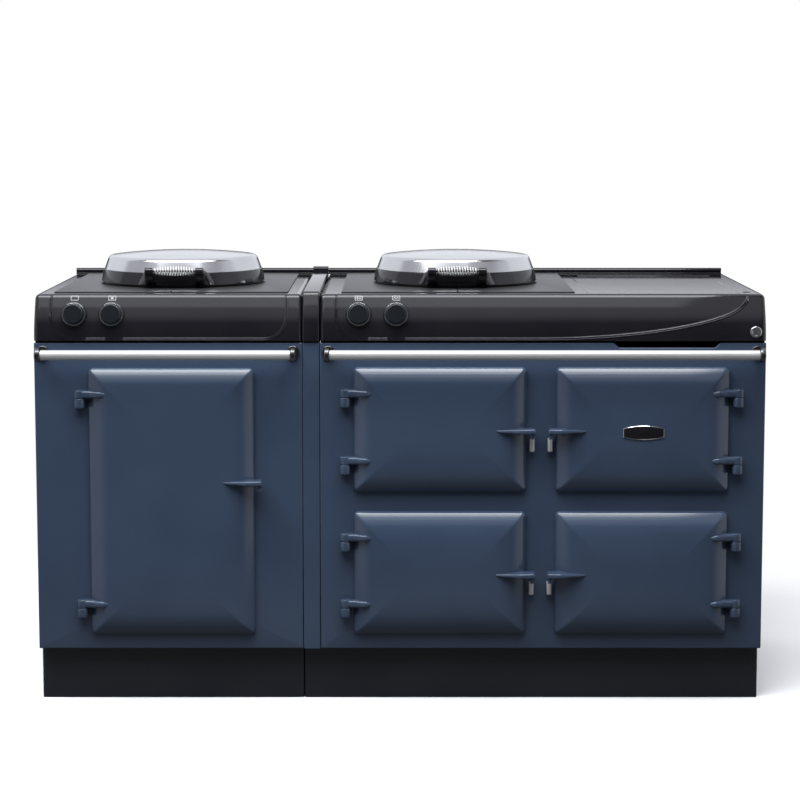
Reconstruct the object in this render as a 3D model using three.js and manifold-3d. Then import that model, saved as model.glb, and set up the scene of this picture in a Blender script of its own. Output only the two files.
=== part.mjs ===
// Cast iron range cooker: two enamelled oven modules side by side, a joint strip between them,
// black cast top plates with sculpted control fascias, two hinged hotplate lids with coil handles,
// five lift-off oven doors and two towel rails. Millimetres, +Z up, the front faces -Y.

import Module from 'manifold-3d';
import * as THREE from 'three';
import { mergeVertices } from 'three/addons/utils/BufferGeometryUtils.js';

const wasm = await Module();
wasm.setup();

// ---------- Driving dimensions ----------

// Plan and heights of the two modules.
const leftModuleWidth = 590;
const rightModuleWidth = 982;
const stripWidth = 38;
const stripDepth = 60;
const capRise = 6;
const capWall = 6;
const capUpstandRise = 4;
const hobHeight = 912;
const topDepth = 651;
const plinthHeight = 121;
const plinthRecess = 35;
const apronHeight = 101;
const apronShadowGap = 4;
const apronOverhang = 3;
const seamGap = 0.5;
const seatGap = 0.3;
// How far a cast-on form reaches into what carries it, and a cutting form past what it cuts.
const castIn = 1;
const past = 1;

// Cast front panels and the sheet steel cabinets behind them.
const panelThickness = 12;
const panelEdgeRound = 2;
const panelCornerRadius = 3;
const sheet = 3;
const cabinetDepth = 610;
const cabinetInset = 2;
const plinthWall = 5;
const plinthTopFlange = 30;
const plinthSideInset = 1;

// Doors, which fill their front panel between these margins and gaps.
const doorBottomMargin = 34;
const doorTopMargin = 53;
const doorRowGap = 43;
const doorLeftMargin = 74;
const doorRightMargin = 80;
const doorColumnGap = 64;
const tallDoorWidth = 365;
const tallDoorLeftMargin = 119;
const tallDoorTopMargin = 55;

// Door castings, insulated inner panels and the ovens behind them.
const doorGap = 1;
const doorRim = 12;
const doorRise = 22;
const doorPillow = 82;
const doorPillowSteps = 5;
const doorEdgeRound = 2.5;
const doorCornerRadius = 11;
const doorHipRadius = 1.5;
const mouthInset = 24;
const mouthCornerRadius = 14;
const plugClearance = 6;
const plugDepth = 28;
const plugEdgeRound = 3;
const ovenDepth = 470;
const ovenWall = 3;
const ovenCornerRadius = 6;
const ovenFlange = 9;
const shelfRod = 5;
const shelfClearance = 4;
const shelfPitch = 54;
const shelfFrontGap = 8;
const shelfBackGap = 12;
const shelfTieInset = 12;
const shelfTieThinner = 1;
const runnerDepth = 8;
const runnerHeight = 6;
const runnerLevel = 0.4;
const dividerThickness = 24;

// Door hinges, handles and catch rollers.
const hingeOutset = 18;
const hingeReach = 16;
const hingeLow = 72;
const hingeTop = 57;
const armHeight = 18;
const armLength = 59;
const armTaperLength = 14;
const armTaperHeight = 14;
const armEndHeight = 6;
const armProud = 7;
const armRootBehind = 2;
const finChamfer = 0.55;
const knuckleRadius = 12;
const knuckleHeight = 21;
const knuckleWebInset = 1;
const pinRadius = 4;
const pinRise = 13;
const pinClearance = 0.4;
const handleRise = 140;
const tallHandleRise = 346;
const handleInner = 72;
const handleOuter = 18;
const handleHeight = 12;
const handleReach = 24;
const handleRootHeight = 4;
const handleWaistAt = 0.6;
const handleWaistHeight = 7;
const handleWaistBehind = 10;
const handleGripInset = 8;
const handleTaper = 1;
const handleTipLength = 3;
const handleTipBehind = 5;
const handleTipRound = 2;
const handleBackReach = 5;
const lugDrop = 11;
const lugWidth = 9;
const lugThickness = 10;
const lugBehind = 8;
const rollerRadius = 6;
const rollerHeight = 30;
const rollerBelowHandle = 19;
const rollerReach = 9;
const rollerCrown = 1.2;
const earThickness = 3;
const earInset = 1;
const earOverhang = 3;

// Top plates: rolled edges, fascia, hob opening, upstand and warming area.
const frontRoll = 28;
const sideRoll = 11;
const deckThickness = 14;
const castingWall = 10;
const upstandHeight = 14;
const upstandThickness = 12;
const upstandSlope = 4;
const upstandEdgeRound = 3;
const fasciaTopSetback = 50;
const fasciaSetback = 8;
const fasciaDrop = 77;
const fasciaShoulder = 27;
const fasciaShoulderShare = 0.44;
const fasciaBodyDepth = 20;
const fasciaRecessDepth = 10;
const fasciaHollowDrop = 62;
const fasciaHollowSlope = [10, 14];
const fasciaHollowBack = 6;
const fasciaLip = 8;
const fasciaLipDepth = 10;
const fasciaBottom = 8;
const fasciaMargin = 39;
const fasciaCorner = 46;
// The right fascia's sweep: its start, then its curve's handles and its end, the first handle
// from the start and the rest in from the fascia's end and up from its lower edge.
const swooshStart = 500;
const swooshRun = [260, 4];
const swooshTurn = [40, 45];
const swooshEnd = [18, 67];
const swooshTip = [5, 80];
const hobPlateMargin = 36;
const hobPlateFront = 54;
const hobPlateBackGap = 1.3;
const hobPlateProud = 3;
const hobPlateThickness = 10;
const hobPlateCorner = 8;
const leftHobOffset = 2;
const rightHobOffset = 47;
const warmingLeft = 28;
const warmingRight = 52;
const warmingFront = 60;
const warmingBack = 596;
const grooveWidth = 2.4;
const grooveDepth = 2;
const ventSlots = 3;
const ventSlotInset = 23.5;
const ventSlotBack = 4;
const ventSlotWidth = 7;
const ventSlotPitch = 13;
const dimpleDiameter = 22;
const dimpleDepth = 1.5;
const dimpleFromSide = 32;
const dimpleFromFront = 150;
const ventNotchWidth = 234;
const ventNotchDepth = 11;
const ventNotchFromRight = 101;

// Hotplates and their lids.
const hotplateRadius = 170;
const hotplateSeatWidth = 5;
const hotplateProud = 2;
const hotplateBodyDepth = 45;
const hotplateGap = 1;
const hotplateEdgeRound = 2;
const lidCentre = 345;
const footInset = 7;
const footWidth = 8;
const footHeight = 5;
const skirtTopRadius = 184.5;
const skirtFlare = 6.5;
const skirtHeight = 28;
const skirtWall = 2.5;
const domeRimInset = 1.5;
const domeShoulderInset = 5;
const domeShoulderHeight = 20;
const domeShoulderRound = 14;
const domeShoulderTurn = 0.82;
const domeShoulderDrop = 0.6;
const domeFlare = 3;
const domeHeight = 41;
const domeWall = 2;
const coilStandoff = 24;
const coilAxisHeight = 40;
const coilTurns = 15;
const coilWire = 3;
const coilMiddleDiameter = 23.6;
const coilEndDiameter = 14;
const coilBarrel = 0.8;
const coilRodRadius = 2.6;
const postOffset = 57;
const postWidth = 18;
const postBossRadius = 8;
const postCornerRadius = 2;
const crossbarHeight = 14;
const crossbarThickness = 4;
const crossbarBelowCoil = 12;
const crossbarStandoff = 7;
const lidBarrelRadius = 8;
const lidBarrelLength = 60;
const lidBarrelWeb = 8;
const lidBarrelSunk = 1.5;
const lidHingeOut = 18;
const lidHingeHeight = 15;
const lidPinRadius = 3.5;
const lidPinReach = 10;
const lidPinRoot = 2;
const lidEarWidth = 10;
const lidEarInset = 0.5;

// Knobs, push button and towel rails.
const knobRadius = 22;
const knobFlangeRadius = 28;
const knobFlange = 4;
const knobHeight = 19;
const knobEdge = 1;
const knobRound = 3;
const knobAlong = 0.75;
const knobBossRise = 1.5;
const knobBossRoot = 8;
const knobBossMargin = 1;
const knobSpindleRadius = 4;
const knobSpindleLength = 10;
const leftKnobOffset = 88;
const rightKnobOffset = 86;
const knobPitch = 82.5;
const buttonRadius = 13;
const buttonProud = 4;
const buttonTravel = 3;
const buttonFromSide = 24;
const buttonAboveApron = 20;
const buttonClearance = 0.4;
const buttonRoot = 6;
const buttonRound = 2;
const buttonRing = 5;
const buttonDish = 1;
const railRadius = 11;
const railWall = 1.5;
const railStandoff = 60;
const railBelowPanelTop = 21;
const railEndInset = 12;
const bracketWidth = 12;
const bracketCupRadius = 15.5;
const bracketStemRadius = 5.6;
const bracketFootRadius = 11.2;
const bracketFootDepth = 6;
const bracketFootLap = 2;

// Facets round each kind of turned form.
const lidSides = 30;
const discSides = 20;
const cupSides = 16;
const smallSides = 12;
const pinSides = 8;

// ---------- Finishes ----------

const finish = (color, roughness, metalness) =>
  new THREE.MeshStandardMaterial({ color, roughness, metalness });
const blueEnamel = finish(0x35445a, 0.22, 0.0);
const blackEnamel = finish(0x1d1d22, 0.2, 0.0);
const plinthPaint = finish(0x1f2227, 0.6, 0.0);
const blackIron = finish(0x2a2a2c, 0.6, 0.3);
const chrome = finish(0xdcdcde, 0.12, 1.0);
const brushedSteel = finish(0xb9b9b9, 0.3, 1.0);
const cabinetPaint = finish(0x26282c, 0.5, 0.0);
const ovenEnamel = finish(0x23242a, 0.35, 0.0);
const blackPlastic = finish(0x111317, 0.15, 0.0);

// ---------- Solids from three.js geometry ----------

function asSolid(geometry) {
  const bare = geometry.clone();
  bare.deleteAttribute('normal');
  bare.deleteAttribute('uv');
  const merged = mergeVertices(bare, 1e-4);
  const index = merged.index.array;
  const kept = [];
  for (let i = 0; i < index.length; i += 3) {
    const [a, b, c] = [index[i], index[i + 1], index[i + 2]];
    if (a !== b && b !== c && a !== c) kept.push(a, b, c);
  }
  return new wasm.Manifold(new wasm.Mesh({
    numProp: 3,
    vertProperties: new Float32Array(merged.attributes.position.array),
    triVerts: new Uint32Array(kept),
  }));
}

function asGeometry(solid) {
  const mesh = solid.getMesh();
  const geometry = new THREE.BufferGeometry();
  geometry.setAttribute('position', new THREE.BufferAttribute(new Float32Array(mesh.vertProperties), 3));
  geometry.setIndex(new THREE.BufferAttribute(new Uint32Array(mesh.triVerts), 1));
  geometry.computeVertexNormals();
  return geometry;
}

const join = (...solids) => solids.reduce((whole, next) => whole.add(next));

// A block between two values on each axis.
function block(x, y, z) {
  const geometry = new THREE.BoxGeometry(x[1] - x[0], y[1] - y[0], z[1] - z[0]);
  geometry.translate((x[0] + x[1]) / 2, (y[0] + y[1]) / 2, (z[0] + z[1]) / 2);
  return asSolid(geometry);
}

// A rectangle with round corners, as a shape.
function roundedRectangle(low, high, radius) {
  const [x0, y0] = low;
  const [x1, y1] = high;
  const shape = new THREE.Shape();
  shape.absarc(x1 - radius, y0 + radius, radius, -Math.PI / 2, 0, false);
  shape.absarc(x1 - radius, y1 - radius, radius, 0, Math.PI / 2, false);
  shape.absarc(x0 + radius, y1 - radius, radius, Math.PI / 2, Math.PI, false);
  shape.absarc(x0 + radius, y0 + radius, radius, Math.PI, Math.PI * 1.5, false);
  shape.closePath();
  return shape;
}

const polygon = (points) => new THREE.Shape(points.map(([x, y]) => new THREE.Vector2(x, y)));

// A shape drawn in front view (x, z) and given depth along y.
function frontExtrusion(shape, y, curveSegments = 2, bevel = 0) {
  const geometry = new THREE.ExtrudeGeometry(shape, {
    depth: y[1] - y[0] - 2 * bevel,
    curveSegments,
    bevelEnabled: bevel > 0,
    bevelThickness: bevel,
    bevelSize: bevel,
    bevelOffset: -bevel,
    bevelSegments: 1,
  });
  geometry.rotateX(Math.PI / 2);
  geometry.translate(0, y[1] - bevel, 0);
  return asSolid(geometry);
}

// A shape drawn in side view (y, z) and given length along x.
function sideExtrusion(shape, x, curveSegments = 2) {
  const geometry = new THREE.ExtrudeGeometry(shape, {
    depth: x[1] - x[0],
    curveSegments,
    bevelEnabled: false,
  });
  geometry.applyMatrix4(new THREE.Matrix4().makeBasis(
    new THREE.Vector3(0, 1, 0),
    new THREE.Vector3(0, 0, 1),
    new THREE.Vector3(1, 0, 0),
  ));
  geometry.translate(x[0], 0, 0);
  return asSolid(geometry);
}

// A shape drawn in plan (x, y) and given height along z.
function planExtrusion(shape, z, curveSegments = 2) {
  const geometry = new THREE.ExtrudeGeometry(shape, {
    depth: z[1] - z[0],
    curveSegments,
    bevelEnabled: false,
  });
  geometry.translate(0, 0, z[0]);
  return asSolid(geometry);
}

// A profile of [radius, height] points turned round the z axis.
function turned(profile, sides) {
  const points = profile.map(([radius, height]) => new THREE.Vector2(radius, height));
  const geometry = new THREE.LatheGeometry(points, sides);
  geometry.rotateX(Math.PI / 2);
  return asSolid(geometry);
}

// A round bar between two points.
function bar(from, to, radius, sides = smallSides) {
  const start = new THREE.Vector3(...from);
  const along = new THREE.Vector3(...to).sub(start);
  const geometry = new THREE.CylinderGeometry(radius, radius, along.length(), sides);
  geometry.applyQuaternion(new THREE.Quaternion().setFromUnitVectors(
    new THREE.Vector3(0, 1, 0),
    along.clone().normalize(),
  ));
  geometry.translate(...start.addScaledVector(along, 0.5).toArray());
  return asSolid(geometry);
}

const inFrontView = (point) => new THREE.Vector2(point.x, point.z);
const inSideView = (point) => new THREE.Vector2(point.y, point.z);

// A closed skin over rings of equal count. Each ring runs anticlockwise as seen from the last
// ring, and the first and last are flat, and filled as the given view shows them.
function loft(rings, view = inFrontView) {
  const count = rings[0].length;
  const positions = rings.flat().flatMap((point) => point.toArray());
  const index = [];
  for (let r = 0; r < rings.length - 1; r += 1) {
    for (let i = 0; i < count; i += 1) {
      const here = r * count + i;
      const next = r * count + ((i + 1) % count);
      index.push(here, next, next + count, here, next + count, here + count);
    }
  }
  [0, rings.length - 1].forEach((r, last) => {
    THREE.ShapeUtils.triangulateShape(rings[r].map(view), []).forEach(([i, j, k]) => {
      index.push(r * count + i, r * count + (last ? j : k), r * count + (last ? k : j));
    });
  });
  const geometry = new THREE.BufferGeometry();
  geometry.setAttribute('position', new THREE.Float32BufferAttribute(positions, 3));
  geometry.setIndex(index);
  return asSolid(geometry);
}

// Points round a rectangle with round corners, anticlockwise.
function rectangleRing(low, high, radius, steps) {
  const corners = [
    [high[0] - radius, low[1] + radius, -Math.PI / 2],
    [high[0] - radius, high[1] - radius, 0],
    [low[0] + radius, high[1] - radius, Math.PI / 2],
    [low[0] + radius, low[1] + radius, Math.PI],
  ];
  return corners.flatMap(([x, y, start]) => Array.from({ length: steps + 1 }, (_, i) => {
    const angle = start + (Math.PI / 2) * (i / steps);
    return [x + radius * Math.cos(angle), y + radius * Math.sin(angle)];
  }));
}

// The same outline moved outwards by a distance, for a closed anticlockwise loop.
function grownLoop(points, distance) {
  return points.map((point, i) => {
    const before = points[(i + points.length - 1) % points.length];
    const after = points[(i + 1) % points.length];
    const tangents = [[before, point], [point, after]].map(([from, to]) =>
      new THREE.Vector2(to[0] - from[0], to[1] - from[1]).normalize());
    const normals = tangents.map((t) => new THREE.Vector2(t.y, -t.x));
    const mitre = normals[0].clone().add(normals[1]).normalize();
    const reach = distance / Math.max(mitre.dot(normals[0]), 0.5);
    return [point[0] + mitre.x * reach, point[1] + mitre.y * reach];
  });
}

// ---------- Levels and module edges that follow from the dimensions ----------

const totalWidth = leftModuleWidth + stripWidth + rightModuleWidth;
const left = { low: -totalWidth / 2, high: -totalWidth / 2 + leftModuleWidth };
const right = { low: totalWidth / 2 - rightModuleWidth, high: totalWidth / 2 };
const apronBottom = hobHeight - apronHeight;
const panelTop = apronBottom - apronShadowGap;
const deckBack = topDepth - apronOverhang;
const cabinetBack = panelThickness + cabinetDepth;
const inset = ([low, high], amount) => [low + amount, high - amount];

const assembly = new THREE.Group();
// The origin is on the floor under the middle, between the rail brackets' front and the wall.
assembly.position.y = (railStandoff + bracketCupRadius - deckBack) / 2;

function place(name, solid, material, parent = assembly) {
  const mesh = new THREE.Mesh(asGeometry(solid), material);
  mesh.name = name;
  parent.add(mesh);
  return mesh;
}

// ---------- Plinths and cabinets ----------

// A folded plinth: four walls and a flange that the cabinet stands on, open underneath.
function plinth(x) {
  const y = [plinthRecess, cabinetBack];
  const outer = planExtrusion(roundedRectangle([x[0], y[0]], [x[1], y[1]], plinthWall), [0, plinthHeight]);
  const hollow = block(
    inset(x, plinthWall),
    inset(y, plinthWall),
    [-past, plinthHeight - plinthWall],
  );
  const deckOpening = block(
    inset(x, plinthTopFlange),
    inset(y, plinthTopFlange),
    [0, plinthHeight + past],
  );
  return outer.subtract(hollow).subtract(deckOpening);
}
place('plinth_left', plinth([left.low + plinthSideInset, left.high - seamGap]), plinthPaint);
place('plinth_right', plinth([left.high + seamGap, right.high - plinthSideInset]), plinthPaint);

// A sheet steel cabinet: base, back and two sides, open to the front panel and the top plate.
function cabinet(module) {
  const x = [module.low + cabinetInset, module.high - cabinetInset];
  const outer = block(x, [panelThickness, cabinetBack], [plinthHeight, apronBottom]);
  const inside = block(
    inset(x, sheet),
    [panelThickness - past, cabinetBack - sheet],
    [plinthHeight + sheet, apronBottom + past],
  );
  return outer.subtract(inside);
}
place('cabinet_left', cabinet(left), cabinetPaint);
place('cabinet_right', cabinet(right), cabinetPaint);

// ---------- Door layout ----------

// Every door is described by its edges, which side it hangs on and the height of its handle.
const panelHeight = panelTop - plinthHeight;
const doorWidth = (rightModuleWidth - doorLeftMargin - doorColumnGap - doorRightMargin) / 2;
const doorHeight = (panelHeight - doorBottomMargin - doorRowGap - doorTopMargin) / 2;
const tallDoorHeight = panelHeight - doorBottomMargin - tallDoorTopMargin;
const firstColumn = right.low + doorLeftMargin;
const secondColumn = firstColumn + doorWidth + doorColumnGap;
const lowerRow = plinthHeight + doorBottomMargin;
const upperRow = lowerRow + doorHeight + doorRowGap;
const smallDoor = (name, x, z, hangs) => ({
  name, hangs, x: [x, x + doorWidth], z: [z, z + doorHeight], handle: z + handleRise,
});
const tallDoor = {
  name: 'tall',
  hangs: -1,
  x: [left.low + tallDoorLeftMargin, left.low + tallDoorLeftMargin + tallDoorWidth],
  z: [lowerRow, lowerRow + tallDoorHeight],
  handle: lowerRow + tallHandleRise,
};
const rightDoors = [
  smallDoor('top_left', firstColumn, upperRow, -1),
  smallDoor('top_right', secondColumn, upperRow, 1),
  smallDoor('bottom_left', firstColumn, lowerRow, -1),
  smallDoor('bottom_right', secondColumn, lowerRow, 1),
];

const hingeX = (door) => (door.hangs < 0 ? door.x[0] - hingeOutset : door.x[1] + hingeOutset);
const freeX = (door) => (door.hangs < 0 ? door.x[1] : door.x[0]);
const armLevels = (door) => [door.z[0] + hingeLow, door.z[1] - hingeTop];
const rollerX = (door) => freeX(door) - door.hangs * (handleOuter - rollerRadius);
const rollerTop = (door) => door.handle - rollerBelowHandle;

// ---------- Front panels ----------

// The lower half of a hinge: a knuckle cast on the panel, with the pin that the door lifts off.
function knuckle(door, level) {
  const x = hingeX(door);
  const top = level - armHeight / 2 - seatGap;
  const round = bar([x, -hingeReach, top - knuckleHeight], [x, -hingeReach, top], knuckleRadius);
  const web = block(
    inset([x - knuckleRadius, x + knuckleRadius], knuckleWebInset),
    [-hingeReach, castIn],
    [top - knuckleHeight, top],
  );
  const pin = bar([x, -hingeReach, top - castIn], [x, -hingeReach, top + pinRise], pinRadius, pinSides);
  return join(round, web, pin);
}

// Two ears cast on the panel that hold a catch roller's pin.
function rollerEars(door) {
  const x = rollerX(door);
  const top = rollerTop(door);
  const ear = (z) => block(
    inset([x - rollerRadius, x + rollerRadius], earInset),
    [-rollerReach - earOverhang, castIn],
    z,
  );
  return join(
    ear([top + seatGap, top + seatGap + earThickness]),
    ear([top - rollerHeight - seatGap - earThickness, top - rollerHeight - seatGap]),
  );
}

function frontPanel(x, doors) {
  const shape = roundedRectangle([x[0], plinthHeight], [x[1], panelTop], panelCornerRadius);
  doors.forEach((door) => {
    shape.holes.push(roundedRectangle(
      [door.x[0] + mouthInset, door.z[0] + mouthInset],
      [door.x[1] - mouthInset, door.z[1] - mouthInset],
      mouthCornerRadius,
    ));
  });
  const plate = frontExtrusion(shape, [0, panelThickness], 1, panelEdgeRound);
  const knuckles = doors.flatMap((door) => armLevels(door).map((level) => knuckle(door, level)));
  return join(plate, ...knuckles);
}

place('front_panel_left', frontPanel([left.low, left.high - seamGap], [tallDoor]), blueEnamel);

// The right panel's top edge dips where warm air leaves under the apron.
const notchRight = right.high - ventNotchFromRight;
const ventNotch = frontExtrusion(polygon([
  [notchRight - ventNotchWidth + ventNotchDepth, panelTop - ventNotchDepth],
  [notchRight - ventNotchDepth, panelTop - ventNotchDepth],
  [notchRight + past, panelTop + past],
  [notchRight - ventNotchWidth - past, panelTop + past],
]), [-past, panelThickness + past]);
place(
  'front_panel_right',
  join(frontPanel([right.low + seamGap, right.high], rightDoors), ...rightDoors.map(rollerEars))
    .subtract(ventNotch),
  blueEnamel,
);

// ---------- Ovens and shelves ----------

// A pressed enamel oven liner: a box with round corners, open to the front, with a flange that
// bears on the back of the front panel and two runners for the shelf.
function oven(door, cells) {
  const x = inset(door.x, mouthInset);
  const z = inset(door.z, mouthInset);
  const y = [panelThickness, panelThickness + ovenDepth];
  const shell = (grow, depth) => frontExtrusion(roundedRectangle(
    [x[0] - grow, z[0] - grow],
    [x[1] + grow, z[1] + grow],
    ovenCornerRadius + grow,
  ), depth, 1);
  let liner = join(shell(ovenWall, y), shell(ovenFlange, [y[0], y[0] + ovenWall]));
  liner = liner.subtract(shell(0, [y[0] - past, y[1] - ovenWall]));
  const fromPlugToBack = [y[0] + plugDepth, y[1] - ovenWall + castIn];
  if (cells.length > 1) {
    const middle = cells[0].z[1] + dividerThickness / 2;
    liner = join(liner, block(
      [x[0] - castIn, x[1] + castIn],
      fromPlugToBack,
      [middle - dividerThickness / 2, middle + dividerThickness / 2],
    ));
  }
  cells.forEach((cell) => {
    [[x[0] - castIn, x[0] + runnerDepth], [x[1] - runnerDepth, x[1] + castIn]].forEach((side) => {
      liner = join(liner, block(side, fromPlugToBack, [cell.runner - runnerHeight, cell.runner]));
    });
  });
  return liner;
}

// A grid shelf: bars that run back into the oven, joined by two ties. Its outer bars rest on the
// runners.
function shelf(door, runner) {
  const x = inset(door.x, mouthInset + shelfClearance);
  const y = [panelThickness + plugDepth + shelfFrontGap, panelThickness + ovenDepth - shelfBackGap];
  const level = [runner, runner + shelfRod];
  const span = x[1] - x[0] - shelfRod;
  const gaps = Math.floor((span - shelfPitch / 2) / shelfPitch);
  const first = x[0] + (span - gaps * shelfPitch) / 2;
  const fronts = Array.from({ length: gaps + 1 }, (_, i) => first + i * shelfPitch);
  const bars = [x[0], ...fronts, x[1] - shelfRod].map((low) => block([low, low + shelfRod], y, level));
  const ties = [y[0] + shelfTieInset, y[1] - shelfTieInset - shelfRod].map((front) =>
    block(inset(x, shelfTieThinner), [front, front + shelfRod], inset(level, shelfTieThinner)));
  return join(...bars, ...ties);
}

const ovenSpan = (door) => inset(door.z, mouthInset);
const runnerIn = ([low, high]) => low + (high - low) * runnerLevel;
const tallSpan = ovenSpan(tallDoor);
const tallMiddle = (tallSpan[0] + tallSpan[1]) / 2;
const tallCells = [
  { z: [tallSpan[0], tallMiddle - dividerThickness / 2] },
  { z: [tallMiddle + dividerThickness / 2, tallSpan[1]] },
].map((cell) => ({ ...cell, runner: runnerIn(cell.z) }));

place('oven_liner_tall', oven(tallDoor, tallCells), ovenEnamel);
place('oven_shelf_tall', shelf(tallDoor, tallCells[1].runner + seatGap), chrome);
rightDoors.forEach((door) => {
  const cell = { z: ovenSpan(door), runner: runnerIn(ovenSpan(door)) };
  place(`oven_liner_${door.name}`, oven(door, [cell]), ovenEnamel);
  place(`oven_shelf_${door.name}`, shelf(door, cell.runner + seatGap), chrome);
});

// ---------- Doors ----------

// A cast fin whose section changes along x: each station gives x, the middle height, the half
// height and the depth of its front, and every section is chamfered in front.
function fin(stations, back) {
  const ordered = [...stations].sort((a, b) => a.x - b.x);
  return loft(ordered.map(({ x, z, half, front }) => {
    const chamfer = Math.min(half, (back - front) / 2) * finChamfer;
    return [
      [front + chamfer, z - half], [back, z - half], [back, z + half], [front + chamfer, z + half],
      [front, z + half - chamfer], [front, z - half + chamfer],
    ].map(([y, height]) => new THREE.Vector3(x, y, height));
  }), inSideView);
}

// How far a pillow's face stands out from the panel, at a share of the way in from its edge.
const pillowRise = (share) => doorGap + doorRim + doorRise * (1 - (1 - share) ** 2);

// The pillow of a door: four slopes that rise from the rim and die away, meeting in mitred hips.
function pillow(door) {
  const ring = (shrink, front) => rectangleRing(
    [door.x[0] + shrink, door.z[0] + shrink],
    [door.x[1] - shrink, door.z[1] - shrink],
    Math.max(doorCornerRadius - shrink, doorHipRadius),
    2,
  ).map(([x, z]) => new THREE.Vector3(x, -front, z));
  const slopes = Array.from({ length: doorPillowSteps }, (_, i) => {
    const share = (i + 1) / doorPillowSteps;
    return ring(doorEdgeRound + doorPillow * share, pillowRise(share));
  });
  return loft([
    ring(0, doorGap),
    ring(0, doorGap + doorRim - doorEdgeRound),
    ring(doorEdgeRound, doorGap + doorRim),
    ...slopes,
  ]);
}

// The depth of the pillow's face at a distance in from the door's edge.
const pillowFront = (distance) => -pillowRise(Math.min(Math.max(distance / doorPillow, 0), 1));

// A hinge arm: it leaves its knuckle, crosses the rim and runs out on the pillow.
function hingeArm(door, level) {
  const axis = hingeX(door);
  const base = level - armHeight / 2;
  const knuckleFront = -hingeReach - knuckleRadius;
  const station = (reach, height, front) => (
    { x: axis - door.hangs * reach, z: level, half: height / 2, front });
  return join(
    bar([axis, -hingeReach, base], [axis, -hingeReach, base + armHeight], knuckleRadius),
    fin([
      station(0, armHeight, knuckleFront + armRootBehind),
      station(hingeOutset, armHeight, knuckleFront),
      station(
        armLength - armTaperLength,
        armTaperHeight,
        pillowFront(armLength - armTaperLength - hingeOutset) - armProud,
      ),
      station(armLength, armEndHeight, pillowFront(armLength - hingeOutset) + castIn),
    ], -2 * doorGap),
  );
}

// A handle: it rises from the pillow, passes the door's free edge and carries a lug underneath.
function handle(door) {
  const front = pillowFront(handleInner / 2) - handleReach;
  const station = (out, drop, height, behind) => (
    { x: freeX(door) - door.hangs * out, z: door.handle - drop, half: height / 2, front: front + behind });
  const root = station(-handleInner, handleTaper, handleRootHeight, 0);
  const lug = [handleOuter - lugWidth - castIn, handleOuter - castIn]
    .map((out) => station(out, 0, 0, 0).x)
    .sort((a, b) => a - b);
  return join(
    fin([
      { ...root, front: pillowFront(handleInner) + castIn },
      station(-handleInner * handleWaistAt, handleTaper / 2, handleWaistHeight, handleWaistBehind),
      station(-handleGripInset, 0, handleHeight - handleTaper, 0),
      station(handleOuter - handleTipLength, 0, handleHeight, handleTipRound),
      station(handleOuter, 0, handleHeight - 2 * handleTipRound, handleTipBehind),
    ], -rollerReach - handleBackReach),
    block(
      lug,
      [front + lugBehind, front + lugBehind + lugThickness],
      [door.handle - handleHeight / 2 - lugDrop, door.handle],
    ),
  );
}

function doorCasting(door) {
  const axis = hingeX(door);
  const arms = armLevels(door).map((level) => hingeArm(door, level));
  const pinHoles = armLevels(door).map((level) => level - armHeight / 2).map((base) => bar(
    [axis, -hingeReach, base - past],
    [axis, -hingeReach, base + pinRise + pinClearance],
    pinRadius + 2 * pinClearance,
    pinSides,
  ));
  return pinHoles.reduce(
    (casting, hole) => casting.subtract(hole),
    join(pillow(door), ...arms, handle(door)),
  );
}

// The insulated steel panel on the back of a door, which fills the oven's mouth when it is shut.
function innerPanel(door) {
  const shape = roundedRectangle(
    [door.x[0] + mouthInset + plugClearance, door.z[0] + mouthInset + plugClearance],
    [door.x[1] - mouthInset - plugClearance, door.z[1] - mouthInset - plugClearance],
    mouthCornerRadius - plugClearance,
  );
  return frontExtrusion(shape, [-doorGap, plugDepth], 1, plugEdgeRound);
}

[tallDoor, ...rightDoors].forEach((door) => {
  place(`door_casting_${door.name}`, doorCasting(door), blueEnamel);
  place(`door_inner_panel_${door.name}`, innerPanel(door), brushedSteel);
});

// Each small door drops onto a chromed roller beside it, which turns on a pin between the ears.
rightDoors.forEach((door) => {
  const x = rollerX(door);
  const top = rollerTop(door);
  const roller = turned([
    [0, top - rollerHeight],
    [rollerRadius - rollerCrown, top - rollerHeight],
    [rollerRadius, top - rollerHeight + rollerCrown],
    [rollerRadius, top - rollerCrown],
    [rollerRadius - rollerCrown, top],
    [0, top],
  ], smallSides).translate([x, -rollerReach, 0]);
  place(`catch_roller_${door.name}`, roller, chrome);
});

// ---------- Joint strip between the modules ----------

const stripX = [left.high + seamGap, right.low - seamGap];

// A folded blue cover over the joint, with flanges that reach back beside the cabinets.
const stripFace = sideExtrusion(polygon([
  [0, plinthHeight], [0, panelTop], [stripDepth, panelTop], [stripDepth, plinthHeight],
]), stripX).subtract(block(
  inset(stripX, sheet),
  [sheet, stripDepth + past],
  [plinthHeight - past, panelTop + past],
));
place('joint_strip_front', stripFace, blueEnamel);

// A point on the rolled front edge of a casting: height top, face y, roll radius.
function rolledProfile(face, top, radius, back, bottom, steps = 5) {
  const roll = Array.from({ length: steps + 1 }, (_, i) => {
    const angle = (Math.PI / 2) * (i / steps);
    return [face + radius * (1 - Math.cos(angle)), top - radius * (1 - Math.sin(angle))];
  });
  return [[face, bottom], ...roll, [back, top], [back, bottom]];
}

// The black cap over the joint follows the rolled apron and climbs over the upstand.
const capOuter = join(
  sideExtrusion(polygon(rolledProfile(
    -apronOverhang, hobHeight + capRise, frontRoll + capRise, deckBack, apronBottom,
  )), stripX),
  block(
    stripX,
    [deckBack - upstandThickness - capWall, deckBack],
    [hobHeight, hobHeight + upstandHeight + capUpstandRise],
  ),
);
const capInner = sideExtrusion(polygon(rolledProfile(
  -apronOverhang + capWall,
  hobHeight + capRise - capWall,
  frontRoll,
  deckBack - capWall,
  apronBottom - past,
)), inset(stripX, capWall));
place('joint_strip_cap', capOuter.subtract(capInner), blackEnamel);

// ---------- Top plates ----------

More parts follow.
